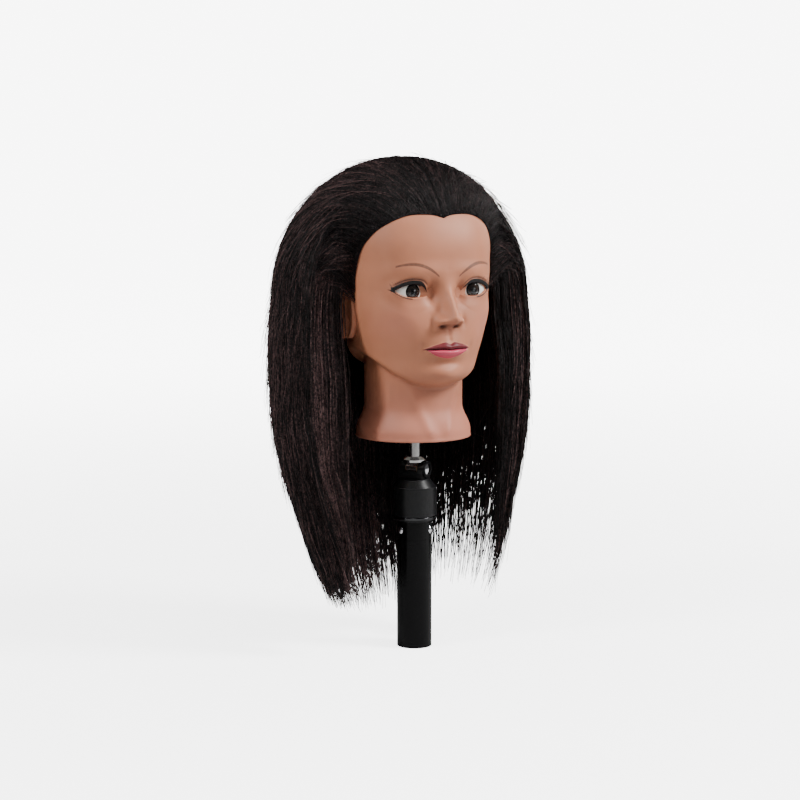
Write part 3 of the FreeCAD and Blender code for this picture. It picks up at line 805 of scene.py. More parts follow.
    def lids(self, turn: Array, z: Array, r: Array) -> Array:
        """Raise the lids over the eyes and sink the opening, given the radius without them.

        A ray from the spine meets the lid ball at b + sqrt(b^2 - c), with b the ball's middle
        along the ray and c its squared distance less its squared radius.

        Args:
            turn: angle from the face's middle, in radians.
            z: height.
            r: radii without the lids.

        Returns:
            Radii with the lids and the openings.
        """
        eye = self.eye
        dx, dy = np.abs(np.sin(turn)), -np.cos(turn)
        sx, sy = eye.spacing, eye.depth - self.spine(z)
        ball = eye.radius + eye.lid
        along = dx * sx + dy * sy
        c = sx**2 + sy**2 + (z - eye.height) ** 2 - ball**2
        inside = along**2 - c
        hit = np.where(inside > 0, along + np.sqrt(np.maximum(inside, 0)), 0)
        covered = np.where(inside > 0, smooth_max(r, hit, self.blend), r)
        near = np.hypot((r * dx - eye.spacing) / 25.0, (z - eye.height) / 20.0)
        r = r + (covered - r) * smoothstep(1.15, 0.72, near)
        a = r * dx
        across, up = a - eye.spacing + eye.inset, z - eye.height
        crease = bump(up, through(eye.upper, across) + 4.7, 0.9)
        r = r - 1.0 * crease * smoothstep(-15, -8, across) * smoothstep(23, 16, across)
        floor = along**2 - c - ball**2 + eye.radius**2
        floor = np.where(floor > 0, along + np.sqrt(np.maximum(floor, 0)), r) - 2.5
        open_part = smoothstep(-0.1, 1.2, eye.opening(across, up)) * (np.cos(turn) > 0)
        return r + (np.minimum(floor, r) - r) * open_part

    def at(self, turn: Array, z: Array, radius: Array) -> Array:
        """Points at a radius about the spine."""
        return np.stack(np.broadcast_arrays(
            radius * np.sin(turn), self.spine(z) - radius * np.cos(turn), z), -1)

    def skin(self, turn: Array, z: Array, lift: float = 0.0) -> Array:
        """Points on the plain skin, lifted by some millimetres."""
        return self.at(turn, z, self.plain(turn, z) + lift)

    def turns(self) -> Array:
        """Angles of the columns: close over the face, wider round the back."""
        half = math.radians(49.0)
        ahead = np.linspace(-half, half, 226)
        round_back = np.linspace(half, 2 * math.pi - half, 100)[1:-1]
        return np.concatenate([ahead, round_back])

    def paint(self, x: Array, y: Array, z: Array) -> dict[str, Array]:
        """Signed distances to the painted features, in millimetres, positive inside.

        Args:
            x, y, z: the outer surface's points.

        Returns:
            Attribute values by name.
        """
        a = np.abs(x)
        ahead = y < -25
        upper, middle, lower = self.mouth_edges(x)
        within = np.where(ahead, np.minimum(self.mouth_half + 0.3 - a, 9.0), -9.0)
        lips = np.minimum(np.minimum(upper - z, z - lower), within)
        b = a - 2.5 * (x > 0)
        brow_line = 389.5 - np.where(b < 36, 0.0175, 0.013) * (b - 36) ** 2
        thick = 0.95 + 0.75 * smoothstep(9, 20, b) * smoothstep(52, 28, b)
        brow = np.minimum(thick - np.abs(z - brow_line), np.minimum(b - 9.5, 50.0 - b))
        across, up = a - self.eye.spacing + self.eye.inset, z - self.eye.height
        above = up - through(self.eye.upper, across)
        wing = 0.8 + (across - 20.3) * 0.42
        wing_in = np.minimum(0.95 - 0.25 * (across - 20.3) - np.abs(up - wing),
                             np.minimum(across - 17.5, 23.5 - across))
        heavy = 0.9 + 1.3 * smoothstep(-15, -4, across)
        band = np.minimum(heavy - np.abs(above - heavy + 0.9),
                          np.minimum(across + 14.2, 21.5 - across))
        under = through(self.eye.lower, across) - up
        low_band = np.minimum(0.55 - np.abs(under - 0.5), np.minimum(across - 3.0, 21.5 - across))
        liner = np.where(ahead, np.maximum(np.maximum(wing_in, band), low_band), -3.0)
        # painted shade: lid crease, upper lid, under the lower lid, nostrils, eye corners, under
        # the jaw
        crease = smoothstep(-15, -9, across) * smoothstep(23, 15, across)
        shade = 0.85 * bump(above, 4.7, 0.9) * crease
        shade += 0.22 * smoothstep(8.5, 2.0, above) * smoothstep(-1, 1, above) * bump(across, 4, 17)
        shade += 0.30 * bump(up, through(self.eye.lower, across) - 0.9, 0.8) * bump(across, 6, 12)
        shade += bells(self.shadows, a, z)
        shade += 0.42 * np.exp(-((a / 8.5) ** 4) - ((z - 330.6) / 3.2) ** 2)
        shade += 0.16 * smoothstep(277, 268, z) * smoothstep(238, 262, z)
        return {
            "lips": lips, "upper_lip": z - middle, "mouth_line": np.abs(z - middle),
            "brow": np.where(ahead, brow, -3.0), "liner": liner,
            "shade": np.clip(shade, 0, 0.8) * ahead, "blush": bells(self.flushes, a, z) * ahead,
        }

    def liner(self) -> bpy.types.Object:
        """Foam lining of the shell: an outer and an inner surface that follow the plain skin."""
        turn = np.linspace(-np.pi, np.pi, 96, endpoint=False)[None]
        up = np.concatenate([np.linspace(231.5, 392, 34), self.dome_start + 66 * np.sin(
            np.radians(np.linspace(3, 87, 14)))])[:, None]
        rings = []
        for inset, order in ((9.5, 1), (19.0, -1)):
            share = np.clip((up - self.dome_start) / (75.0 - 0.85 * inset), 0, 1)
            shrink = np.maximum(1 - share**self.dome_power, 0.001) ** (1 / self.dome_power)
            low = np.minimum(up, self.dome_start)
            ring = self.at(turn, np.minimum(up, self.top - inset),
                           (self.plain(turn, low) - inset) * shrink)
            rings.append(ring[::order])
        points, faces = capped_rings(np.concatenate(rings[::-1]))
        return put_mesh("foam_lining", points, faces)

    def build(self) -> bpy.types.Object:
        """The closed shell: outside from the crown to the rim, rolled under, and the inside."""
        turn = self.turns()[None]
        phi = np.radians(np.linspace(1.2, 88.5, 34))
        dome = self.dome_start + (self.top - self.dome_start) * np.cos(phi)
        face = np.arange(self.dome_start - 0.9, 270.0, -0.68)
        neck = np.arange(268.8, self.rim + 2.2, -2.0)
        z = np.concatenate([dome, face, neck])[:, None]
        outside = self.at(turn, z, self.radius(turn, z))
        edge = self.plain(turn, np.full((1, 1), self.rim + 1.8))
        roll = [self.at(turn, np.full((1, 1), self.rim + up), edge - back)
                for up, back in ((1.0, -0.5), (0.3, 0.1), (0.0, 1.3), (0.3, 2.8), (1.6, 3.8))]
        rise = np.concatenate([np.linspace(220, 390, 18), self.dome_start + 69 * np.sin(
            np.radians(np.linspace(3, 88, 10)))])[:, None]
        height = np.maximum(rise - self.dome_start, 0) / 70.5
        shrink = (1 - height**self.dome_power) ** (1 / self.dome_power)
        low = np.minimum(rise, self.dome_start)
        inside = self.at(turn, rise, (self.plain(turn, low) - self.wall - 3.0 * smoothstep(
            270, 330, rise)) * shrink)
        points, faces = capped_rings(np.concatenate([outside, *roll, inside]))
        attributes = self.paint(*points.T)
        painted = outside.shape[0] * outside.shape[1]
        for key, values in attributes.items():
            values[painted:] = 0 if key in ("shade", "blush") else BARE
        return put_mesh("head_skin", points, faces, attributes)


@dataclass
class Ear:
    """An ear as one closed surface round its middle: bowl, ridge, groove, rim and back."""

    middle: tuple[float, float, float] = (71.5, 6.0, 336.0)
    length: float = 27.0
    depth: float = 15.0
    stand: float = 9.0

    def build(self, side: Side) -> tuple[Array, list[Array]]:
        """Rings outwards over the front and back over the rear.

        Args:
            side: which ear.

        Returns:
            Points and faces.
        """
        around = np.linspace(0, 2 * np.pi, 64, endpoint=False)[None]
        v = np.linspace(0.03, 1.0, 26)[:, None]
        lobe = 1.0 - 0.22 * bump(around, 1.5 * np.pi, 0.7) + 0.06 * bump(around, 0.35 * np.pi, 0.8)
        taper = 1.0 - 0.18 * smoothstep(0, 1, -np.sin(around))
        rear = smoothstep(-0.6, 0.5, np.cos(around))
        lift = (-5.0 * (1 - smoothstep(0.0, 0.55, v)) + 3.0 * bump(v, 0.60, 0.10) * rear
                + 4.6 * smoothstep(0.70, 0.93, v) * (0.35 + 0.65 * rear))
        lift = lift + self.stand * rear * v
        y = self.middle[1] + self.depth * v * np.cos(around) * taper
        z = self.middle[2] + self.length * v * np.sin(around) * lobe
        x = self.middle[0] + lift
        front = np.stack(np.broadcast_arrays(x, y, z), -1)
        w = np.linspace(1.0, 0.2, 10)[:, None]
        back_x = self.middle[0] + self.stand * rear * w * 0.8 - 3.5 - 5.0 * (1 - w)
        back_y = self.middle[1] + self.depth * w * np.cos(around) * taper * 1.02
        back_z = self.middle[2] + self.length * w * np.sin(around) * lobe * 1.01
        rear_side = np.stack(np.broadcast_arrays(back_x, back_y, back_z), -1)
        points, faces = capped_rings(np.concatenate([front, rear_side]))
        points[:, 0] *= side.value
        return points, outward(points, faces)

    def bare(self, count: int) -> dict[str, Array]:
        """The head's paint attributes with no paint, and a little blush."""
        plain = {key: np.full(count, BARE) for key in ("lips", "upper_lip", "brow", "liner")}
        return {**plain, "mouth_line": np.full(count, 5.0), "shade": np.zeros(count),
                "blush": np.full(count, 0.3)}


@dataclass
class Face:
    """Head, ears, eyes and lashes, all riding on the head."""

    head: Head
    ear: Ear = field(default_factory=Ear)
    upper_lashes: int = 52
    lower_lashes: int = 30
    seed: int = 7

    def both(self, points: Array, faces: list[Array]) -> tuple[Array, list[Array]]:
        """A closed surface for the left side and its mirror image for the right."""
        other = points * np.array([-1.0, 1.0, 1.0])
        n = len(points)
        return np.concatenate([points, other]), faces + [f[:, ::-1] + n for f in faces]

    def eyeballs(self) -> bpy.types.Object:
        """Front caps of the two balls, closed behind, with each point's place in the gaze plane."""
        eye = self.head.eye
        polar = np.radians(np.linspace(0.8, 66.0, 56))[:, None]
        around = np.linspace(0, 2 * np.pi, 72, endpoint=False)[None]
        rings = np.stack(np.broadcast_arrays(
            eye.radius * np.sin(polar) * np.cos(around), -eye.radius * np.cos(polar),
            eye.radius * np.sin(polar) * np.sin(around)), -1)
        behind = rings[-1:] * np.array([0.9, 1.0, 0.9]) + np.array([0.0, 1.6, 0.0])
        points, faces = capped_rings(np.concatenate([rings, behind]))
        gaze = points * np.array([1.0, 0.0, 1.0])
        points = points + np.array([eye.spacing, eye.depth, eye.height])
        points, faces = self.both(points, faces)
        return put_mesh("eyeballs", points, faces,
                        {"gaze": np.concatenate([gaze, gaze * np.array([-1.0, 1.0, 1.0])])})

    def clear_domes(self) -> bpy.types.Object:
        """Lens shapes over the irises: a ball pushed forward, closed by a flat back."""
        eye = self.head.eye
        polar = np.radians(np.linspace(1.5, 20.0, 18))[:, None]
        around = np.linspace(0, 2 * np.pi, 48, endpoint=False)[None]
        outer = eye.radius + 0.75 * (1 - (polar / polar.max()) ** 2)
        rings = np.stack(np.broadcast_arrays(
            outer * np.sin(polar) * np.cos(around), -outer * np.cos(polar) - 0.06,
            outer * np.sin(polar) * np.sin(around)), -1)
        under = rings[::-6] + np.array([0.0, 0.04, 0.0])
        under[:, :, 1] = -np.sqrt(eye.radius**2 - (under[:, :, ::2] ** 2).sum(-1)) - 0.02
        points, faces = capped_rings(np.concatenate([rings, under]))
        points = points + np.array([eye.spacing, eye.depth, eye.height])
        return put_mesh("cornea_domes", *self.both(points, faces))

    def lid_rims(self) -> bpy.types.Object:
        """Round edges along the upper and lower lids, thin at the corners."""
        eye = self.head.eye
        share = np.linspace(0, 1, 40)
        across = -15.2 + 36.2 * (share - 0.06 * np.sin(2 * np.pi * share))
        upper = eye.on_ball(across, through(eye.upper, across) + 0.35, eye.radius + 0.55)
        lower = eye.on_ball(across, through(eye.lower, across) - 0.25, eye.radius + 0.45)
        swell = np.sin(np.pi * np.clip(share, 0.02, 0.98))
        radius = np.stack([0.5 + 0.85 * swell**0.6, 0.4 + 0.35 * swell**0.6])
        points, faces = tubes(np.stack([upper, lower]), radius, 12, np.zeros(2))
        under = 0.25 + 0.60 * smoothstep(0.35, 0.75, share) + 0.75 * smoothstep(0.14, 0.02, share)
        liner = np.repeat(np.stack([np.ones(40), under]).ravel(), 12)
        points, faces = self.both(points, faces)
        return put_mesh("lid_rims", points, faces, {"liner": np.tile(liner, 2)})

    def lashes(self) -> bpy.types.Object:
        """Curved lashes: root + length * (t * forward + t^2 * up), longer towards the outside."""
        eye = self.head.eye
        rng = np.random.default_rng(self.seed)
        corner = eye.upper[0][0]
        width = eye.upper[-1][0] - corner
        share_along = np.linspace(0, 1, 8)
        groups = []
        for count, edge, up, reach in ((self.upper_lashes, eye.upper, 1.0, (4.0, 8.4)),
                                       (self.lower_lashes, eye.lower, -1.0, (1.6, 3.0))):
            share = np.linspace(0.12, 0.97, count) + rng.normal(0, 0.006, count)
            across = corner + width * share
            lift = 0.9 if up > 0 else -0.3
            root = eye.on_ball(across, through(edge, across) + lift, eye.radius + 1.0)
            length = reach[0] + (reach[1] - reach[0]) * share**0.8
            length = length * rng.uniform(0.85, 1.1, count)
            lean = (share - 0.42) * 1.3 + rng.normal(0, 0.07, count)
            t = share_along[None, :, None]
            ahead = np.stack([lean, np.full(count, -0.80), np.full(count, 0.12 * up)], -1)[:, None]
            rise = np.stack(
                [lean * 0.3, np.full(count, 0.10), np.full(count, 0.62 * up)], -1)[:, None]
            groups.append(root[:, None] + length[:, None, None] * (t * ahead + t * t * rise))
        lines = np.concatenate(groups)
        taper = (0.17 * (1 - 0.8 * share_along**1.5))[None] * np.ones((len(lines), 1))
        taper[self.upper_lashes:] *= 0.7
        points, faces = tubes(lines, taper, 3, rng.uniform(0, 2, len(lines)))
        return put_mesh("lash_fibres", *self.both(points, faces))

    def build(self) -> None:
        """Make, dress and mount every piece of the face."""
        skin = Skin().make()
        shell_piece = self.head.build()
        skin.dress(shell_piece)
        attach(shell_piece, "head")
        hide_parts("head_shell")
        log.info("head skin: %d points", len(shell_piece.data.vertices))
        lining = self.head.liner()
        Coated("head_foam", (0.66, 0.58, 0.40), (0.50, 0.42, 0.27), 0.85, texture=420.0,
               depth=0.0006).make().dress(lining)
        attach(lining, "head")
        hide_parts("foam_core")
        for side in Side:
            points, faces = self.ear.build(side)
            piece = put_mesh(f"ear_{side.name.lower()}", points, faces, self.ear.bare(len(points)))
            skin.dress(piece)
            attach(piece, "head")
        for piece, finish, slot, nodes in (
            (self.eyeballs(), EyeGlaze().make(), "eye_white", ("eye_whites", "irises")),
            (self.clear_domes(), ClearDome().make(), "cornea", ("corneas",)),
            (self.lid_rims(), LidRim().make(), "skin", ()),
            (self.lashes(), LashFinish().make(), "lash", ("lashes",)),
        ):
            finish.dress(piece)
            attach(piece, "head")
            if nodes:
                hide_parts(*nodes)
            log.info("%s: %d points", piece.name, len(piece.data.vertices))


# ---------------------------------------------------------------- hair


@dataclass
class Strands:
    """What places a batch of strands: one entry for each strand.

    side is -1 or 1, root the scalp point, around the turn in degrees where it hangs, fill its
    place between the curtain's inside (0) and outside (1), tip the height of its end, and lift
    how high in degrees it passes over the shoulder.
    """

    side: Array
    root: Array
    around: Array
    fill: Array
    tip: Array
    lift: Array


@dataclass
class HairShape:
    """The form of the combed hair: a dome over the skull and a curtain that hangs from it.

    The dome is an ellipsoid. The curtain is an oval at each height, from the shoulder of the
    dome down to the tips. A strand leaves the scalp, turns over the dome and hangs.
    """

    head: Head
    middle: float = 30.0
    shoulder: float = 355.0
    dome: tuple[float, float, float] = (134.5, 104.5, 138.5)
    front_turn: float = 67.0
    hairline_end: float = 65.0
    dome_steps: int = 22
    drop_steps: int = 20
    sweep: float = 1.25
    hairline: tuple[tuple[float, float], ...] = (
        (0, 432.6), (6, 435.2), (15, 436.2), (25, 435.0), (36, 429.0), (48, 417.0), (57, 400),
        (62, 381), (65, 364), (68, 348))
    half_width: tuple[tuple[float, float], ...] = (
        (40, 77), (60, 86), (80, 94), (104, 101), (127, 107.5), (151, 113.5), (175, 121.5),
        (200, 127), (224, 130.5), (250, 132), (296, 133.6), (325, 132.8), (355, 129.7))
    centre: tuple[tuple[float, float], ...] = (
        (50, 8), (104, 14), (150, 22), (200, 27), (250, 30), (300, 30), (355, 30))

    def outer(self, side: Array, around: Array, z: Array) -> Array:
        """Points of the curtain's outside at a turn from the front, in degrees, and a height."""
        half = through(self.half_width, z)
        a = np.radians(around)
        wide, deep = 1.037 * half, 0.785 * half
        return np.stack(np.broadcast_arrays(
            side * wide * np.sin(a), through(self.centre, z) - deep * np.cos(a), z), -1)

    def inner(self, side: Array, around: Array, z: Array) -> Array:
        """Points of the room inside the curtain: clear of the post below, of the skull above."""
        a = np.radians(around)
        back = 72.0 + 46.0 * smoothstep(270, 345, z)
        middle, deep = 0.5 * (back - 72.0), 0.5 * (back + 72.0)
        return np.stack(np.broadcast_arrays(
            side * 84.0 * np.sin(a), middle - deep * np.cos(a), z), -1)

    def curtain(self, s: Strands, z: Array) -> Array:
        """Points between the inside and the outside, by each strand's fill."""
        side, around, fill = s.side[:, None], s.around[:, None], s.fill[:, None, None]
        low = self.inner(side, around, z)
        return low + (self.outer(side, around, z) - low) * fill

    def over_dome(self, s: Strands, steps: int) -> Array:
        """The part of each strand from its root to the shoulder.

        In the dome's own scale the direction is a quadratic curve from the root's direction,
        past one above the shoulder, to the shoulder's, and the distance from the middle rises
        from the root's to the shoulder's as 1 - (1 - v)^2.4.

        Args:
            s: the strands.
            steps: points along each.

        Returns:
            (n, steps, 3) points.
        """
        scale = np.array(self.dome)
        middle = np.array([0.0, self.middle, self.shoulder])
        start = (s.root - middle) / scale
        end = (self.curtain(s, np.full((len(s.side), 1), self.shoulder))[:, 0] - middle) / scale
        d0, d1 = unit(start), unit(end)
        rise = np.radians(s.lift)[:, None]
        flat = np.array([1.0, 1.0, 0.0])
        dm = d1 * flat * np.cos(rise) + np.array([0.0, 0.0, 1.0]) * np.sin(rise)
        v = np.linspace(0, 1, steps)[None, :, None]
        way = unit((1 - v) ** 2 * d0[:, None] + 2 * v * (1 - v) * dm[:, None] + v**2 * d1[:, None])
        r0 = np.linalg.norm(start, axis=-1)[:, None, None]
        r1 = np.linalg.norm(end, axis=-1)[:, None, None]
        return middle + way * (r0 + (r1 - r0) * (1 - (1 - v) ** 2.4)) * scale

    def lines(self, s: Strands, count: int, start: Array, end: Array) -> Array:
        """Evenly spaced points along strands.

        Args:
            s: the strands.
            count: points along each.
            start, end: shares of the whole length between which each strand is kept.

        Returns:
            (n, count, 3) points.
        """
        crown = self.over_dome(s, self.dome_steps)
        drop = np.linspace(0, 1, self.drop_steps)[None, 1:]
        z = self.shoulder - (self.shoulder - s.tip)[:, None] * drop
        fine = np.concatenate([crown, self.curtain(s, z)], axis=1)
        length = np.concatenate([np.zeros((len(fine), 1)), np.cumsum(
            np.linalg.norm(np.diff(fine, axis=1), axis=-1), axis=1)], axis=1)
        share = start[:, None] + (end - start)[:, None] * np.linspace(0, 1, count)[None]
        wanted = share * length[:, -1:]
        at = np.clip((length[:, None, :] <= wanted[:, :, None]).sum(-1) - 1, 0, fine.shape[1] - 2)
        row = np.arange(len(fine))[:, None]
        low, high = length[row, at], length[row, at + 1]
        t = ((wanted - low) / np.maximum(high - low, 1e-6))[..., None]
        return fine[row, at] * (1 - t) + fine[row, at + 1] * t

    def swept(self, root_turn: Array) -> Array:
        """Where hair combed back from the hairline comes down, in degrees from the front."""
        share = np.clip(root_turn / self.hairline_end, 0, 1)
        return 180.0 - (180.0 - self.front_turn) * share ** (1 / self.sweep)

    def hairline_height(self, turn: Array) -> Array:
        """Height of the hairline at a turn from the front, in degrees."""
        return through(self.hairline, turn)

    def scalp(self, side: Array, turn: Array, z: Array, lift: float) -> Array:
        """Points on the scalp at a turn in degrees, lifted by some millimetres."""
        return self.head.skin(np.radians(turn) * side, z, lift)

    def lift_for(self, turn: Array) -> Array:
        """How high, in degrees, a strand passes over the shoulder: high from the forehead."""
        return 30.0 + 34.0 * np.clip(1 - turn / self.hairline_end, 0, 1) ** 0.7


class Layer(Enum):
    """The kinds of hair, by where they grow and what they cover."""

    HAIRLINE = "hairline"
    CROWN = "crown"
    TEMPLE = "temple"
    UNDER = "under"
    BACK = "back"
    ENDS = "ends"
    STRAY = "stray"


@dataclass
class Hair:
    """Under-layer and separate strands, which run from the head down to the hanging lengths."""

    shape: HairShape
    per_piece: int = 2150
    points: int = 15
    guides: int = 170
    thickness: float = 0.36
    crown_height: float = 466.0
    inner_calm: float = 0.6
    left_calm: float = 0.55
    loose_share: float = 0.05
    loose_gain: float = 3.2
    tip_scatter: float = 4.5
    # painted light and shade: tone gains for the top hair and for each side's hanging hair
    top_painted_shade: float = 0.34
    right_painted_light: float = 3.0
    left_painted_light: float = 1.1
    seed: int = 11

    def tips(self, rng: np.random.Generator, side: Array, around: Array) -> Array:
        """Heights of the tips: ragged, lower behind, and spread higher up on the left."""
        right = side < 0
        behind = smoothstep(138, 165, around)
        lowest = 44.0 - 22.0 * behind
        spread = np.where(right, 125.0 + 10.0 * behind, 205.0 - 70.0 * behind)
        power = np.where(right, 0.9 - 0.25 * behind, 0.68 - 0.03 * behind)
        return lowest + spread * rng.random(len(side)) ** power

    def grow(self, layer: Layer, count: int, rng: np.random.Generator,
             side: Array) -> Strands:
        """Choose roots, turns and fills for a batch of strands.

        Args:
            layer: which kind of hair.
            count: how many.
            rng: the batch's own random numbers.
            side: -1 or 1 for each strand.

        Returns:
            The strands.
        """
        shape = self.shape
        u, w, g = rng.random(count), rng.random(count), rng.normal(0, 1, count)
        if layer is Layer.HAIRLINE:
            turn = 66.0 * u**0.9
            z = shape.hairline_height(turn) + 0.3 + 9.0 * w**1.5
            around = shape.swept(turn) + 3.0 * g
            fill = 0.985 + 0.02 * rng.random(count)
        elif layer is Layer.CROWN:
            turn = 100.0 * u**0.8
            held = np.minimum(turn, shape.hairline_end)
            low = shape.hairline_height(held)
            z = low + 4 + (self.crown_height - low) * w**1.1
            around = shape.swept(held) + np.maximum(turn - shape.hairline_end, 0) * 0.8 + 9 * g
            fill = 1.0 - 0.09 * rng.random(count) ** 1.6
        elif layer is Layer.TEMPLE:
            turn = 59.0 + 10.0 * u
            z = shape.hairline_height(turn) + 2 + 34.0 * w
            fill = 0.10 + 0.90 * rng.random(count) ** 0.75
            around = shape.front_turn + 10.0 * np.abs(g)
        elif layer is Layer.UNDER:
            turn = 96.0 + 84.0 * u
            z = 318.0 + 90.0 * w
            fill = 0.10 + 0.80 * rng.random(count)
            around = 72.0 + 108.0 * (turn - 96.0) / 84.0 + 5.0 * g
        else:
            turn = 66.0 * u
            z = shape.hairline_height(turn) + 12.0 * w
            fill = 0.40 + 0.60 * rng.random(count) ** 0.6
            if layer is Layer.STRAY:
                fill = 0.99 + 0.02 * w
            start = 118.0 if layer is Layer.BACK else shape.front_turn
            around = start + (180.0 - start) * rng.random(count) ** 0.9
        around = np.where(around > 180, 360 - around, around)
        around = np.clip(around, shape.front_turn - 1.0, 180.0)
        lift = shape.lift_for(np.minimum(turn, shape.hairline_end))
        lift = lift + 4.0 * rng.normal(0, 1, count)
        if layer in (Layer.TEMPLE, Layer.UNDER):
            lift = 14.0 + 18.0 * rng.random(count)
        root = shape.scalp(side, turn, z, 0.7)
        tip = self.tips(rng, side, around)
        if layer is Layer.TEMPLE:
            tip = tip + np.where(side > 0, 75.0, 35.0) * rng.random(count)
        return Strands(side, root, around, fill, tip, lift)

    def gathered(self, s: Strands, rng: np.random.Generator, start: Array, end: Array) -> Array:
        """Lines of strands, drawn together into locks and waved.

        Each strand belongs to one of a few guide strands near its own turn. Towards the tip it
        moves part of the way to the guide. Two slow sine waves and one quick one, each with its
        own phase, are added across it, growing from the root.

        Args:
            s: the strands.
            rng: random numbers.
            start, end: shares of the length that are kept.

        Returns:
            (n, points, 3) lines.
        """
        n = len(s.side)
        lines = self.shape.lines(s, self.points, start, end)
        order = np.lexsort((s.around, s.side))
        group = np.empty(n, int)
        group[order] = np.arange(n) // max(1, n // self.guides)
        leader = np.zeros(group.max() + 1, int)
        leader[group] = np.arange(n)
        share = start[:, None] + (end - start)[:, None] * np.linspace(0, 1, self.points)[None]
        pull = (rng.uniform(0.0, 0.6, n))[:, None] * smoothstep(0.45, 1.0, share)
        goal = lines[leader[group]]
        same = np.abs(goal[:, :, 2] - lines[:, :, 2]) < 40
        sideways = (goal - lines) * np.array([1.0, 1.0, 0.25])
        lines = lines + sideways * (pull * same)[..., None]
        phase = rng.uniform(0, 2 * np.pi, (6, n, 1))
        cycles = rng.uniform(1.5, 3.2, (n, 1))
        loose = np.where(rng.random((n, 1)) < self.loose_share, self.loose_gain, 1.0)
        inner = np.where(s.fill < 0.9, self.inner_calm, 1.0)
        calm = (inner * np.where(s.side > 0, self.left_calm, 1.0))[:, None]
        grow = smoothstep(0.03, 0.45, share) * rng.uniform(0.5, 1.5, (n, 1)) * loose * calm
        out = unit((lines - np.array([0.0, 25.0, 0.0])) * np.array([1.0, 1.0, 0.0]))
        along = np.stack([-out[..., 1], out[..., 0], 0 * out[..., 0]], -1)
        wave_a = 1.3 * np.sin(cycles * 2 * np.pi * share + phase[0]) + 0.6 * np.sin(
            cycles * 5.1 * np.pi * share + phase[1])
        wave_b = 0.8 * np.sin(cycles * 2.3 * np.pi * share + phase[2]) + 0.4 * np.sin(
            cycles * 6.3 * np.pi * share + phase[3])
        quick = 0.5 * np.sin(cycles * 17.0 * share + phase[4]) + rng.normal(0, 0.42, share.shape)
        lines = lines + along * ((wave_a + quick) * grow)[..., None]
        kink = rng.normal(0, 0.35, share.shape)
        apart = smoothstep(0.72, 1.0, share) ** 2
        lines = lines + along * (rng.normal(0, self.tip_scatter, (n, 1)) * apart)[..., None]
        return lines + out * ((wave_b + kink - 0.9) * grow + rng.normal(
            -0.5, 2.5, (n, 1)) * apart)[..., None]

    def astray(self, lines: Array, rng: np.random.Generator) -> Array:
        """Bend short strands away from the rest: outwards and sideways by the square of t."""
        n, m = lines.shape[:2]
        t = np.linspace(0, 1, m)[None, :, None] ** 2
        out = unit((lines - np.array([0.0, 25.0, 300.0])) * np.array([1.0, 1.0, 0.35]))
        along = np.stack([-out[..., 1], out[..., 0], 0 * out[..., 0]], -1)
        return lines + t * (out * rng.uniform(1.0, 8.0, (n, 1, 1))
                            + along * rng.normal(0, 6.0, (n, 1, 1)))

    def piece(self, name: str, plan: tuple[tuple[Layer, float], ...], side: int,
              seed: int) -> bpy.types.Object:
        """One object of strands.

        Args:
            name: the piece's name.
            plan: layers and the share of the strands that each gets.
            side: -1, 1, or 0 for both sides.
            seed: seed of the piece's random numbers.

        Returns:
            The object, with each strand's tone and each point's place along it.
        """
        rng = np.random.default_rng(self.seed * 100 + seed)
        lines, tones = [], []
        for layer, share in plan:
            n = int(self.per_piece * share)
            sides = np.full(n, float(side)) if side else rng.choice((-1.0, 1.0), n)
            s = self.grow(layer, n, rng, sides)
            start, end = np.zeros(n), np.ones(n)
            if layer in (Layer.ENDS, Layer.BACK):
                start = rng.uniform(0.42, 0.60, n)
            elif layer in (Layer.HAIRLINE, Layer.CROWN):
                end = np.where(rng.random(n) < 0.45, rng.uniform(0.5, 0.8, n), 1.0)
            if layer is Layer.STRAY:
                start = rng.uniform(0.05, 0.80, n)
                end = start + rng.uniform(0.10, 0.20, n)
            line = self.gathered(s, rng, start, end)
            lines.append(self.astray(line, rng) if layer is Layer.STRAY else line)
            lock = 0.5 + 0.5 * np.sin(s.around * 0.9 + 2.0 * np.sin(s.around * 0.31) + seed)
            # painted highlight: hairline and stray strands get a lighter tone
            painted_shine = 0.20 if layer in (Layer.HAIRLINE, Layer.STRAY) else 0.0
            tone = 0.22 * lock + (0.85 + painted_shine) * rng.random(n) ** 2.6
            # painted shade on the top hair, painted light on each side's hanging hair
            if layer in (Layer.HAIRLINE, Layer.CROWN):
                gain = self.top_painted_shade
            else:
                gain = np.where(sides < 0, self.right_painted_light, self.left_painted_light)
            # painted shade: strands deep inside the curtain are darker
            gain = gain * (0.2 + 0.8 * smoothstep(0.3, 0.95, s.fill))
            tones.append(np.clip(tone * gain, 0, 1))
        line = np.concatenate(lines)
        tone = np.concatenate(tones)
        stray = len(lines[-1]) if plan[-1][0] is Layer.STRAY else 0
        n, m = line.shape[:2]
        t = np.linspace(0, 1, m)[None]
        girth = self.thickness * rng.uniform(0.7, 1.15, (n, 1))
        girth[n - stray:] *= 0.6
        ends = (0.55 + 0.45 * smoothstep(0, 0.12, t)) * (1 - 0.4 * smoothstep(0.8, 1.0, t))
        radius = girth * ends
        points, faces = tubes(line, radius, 3, rng.uniform(0, 2, n))
        return put_mesh(name, points, faces, {
            "tone": np.repeat(tone, m * 3), "along": np.tile(np.repeat(t[0], 3), n)})

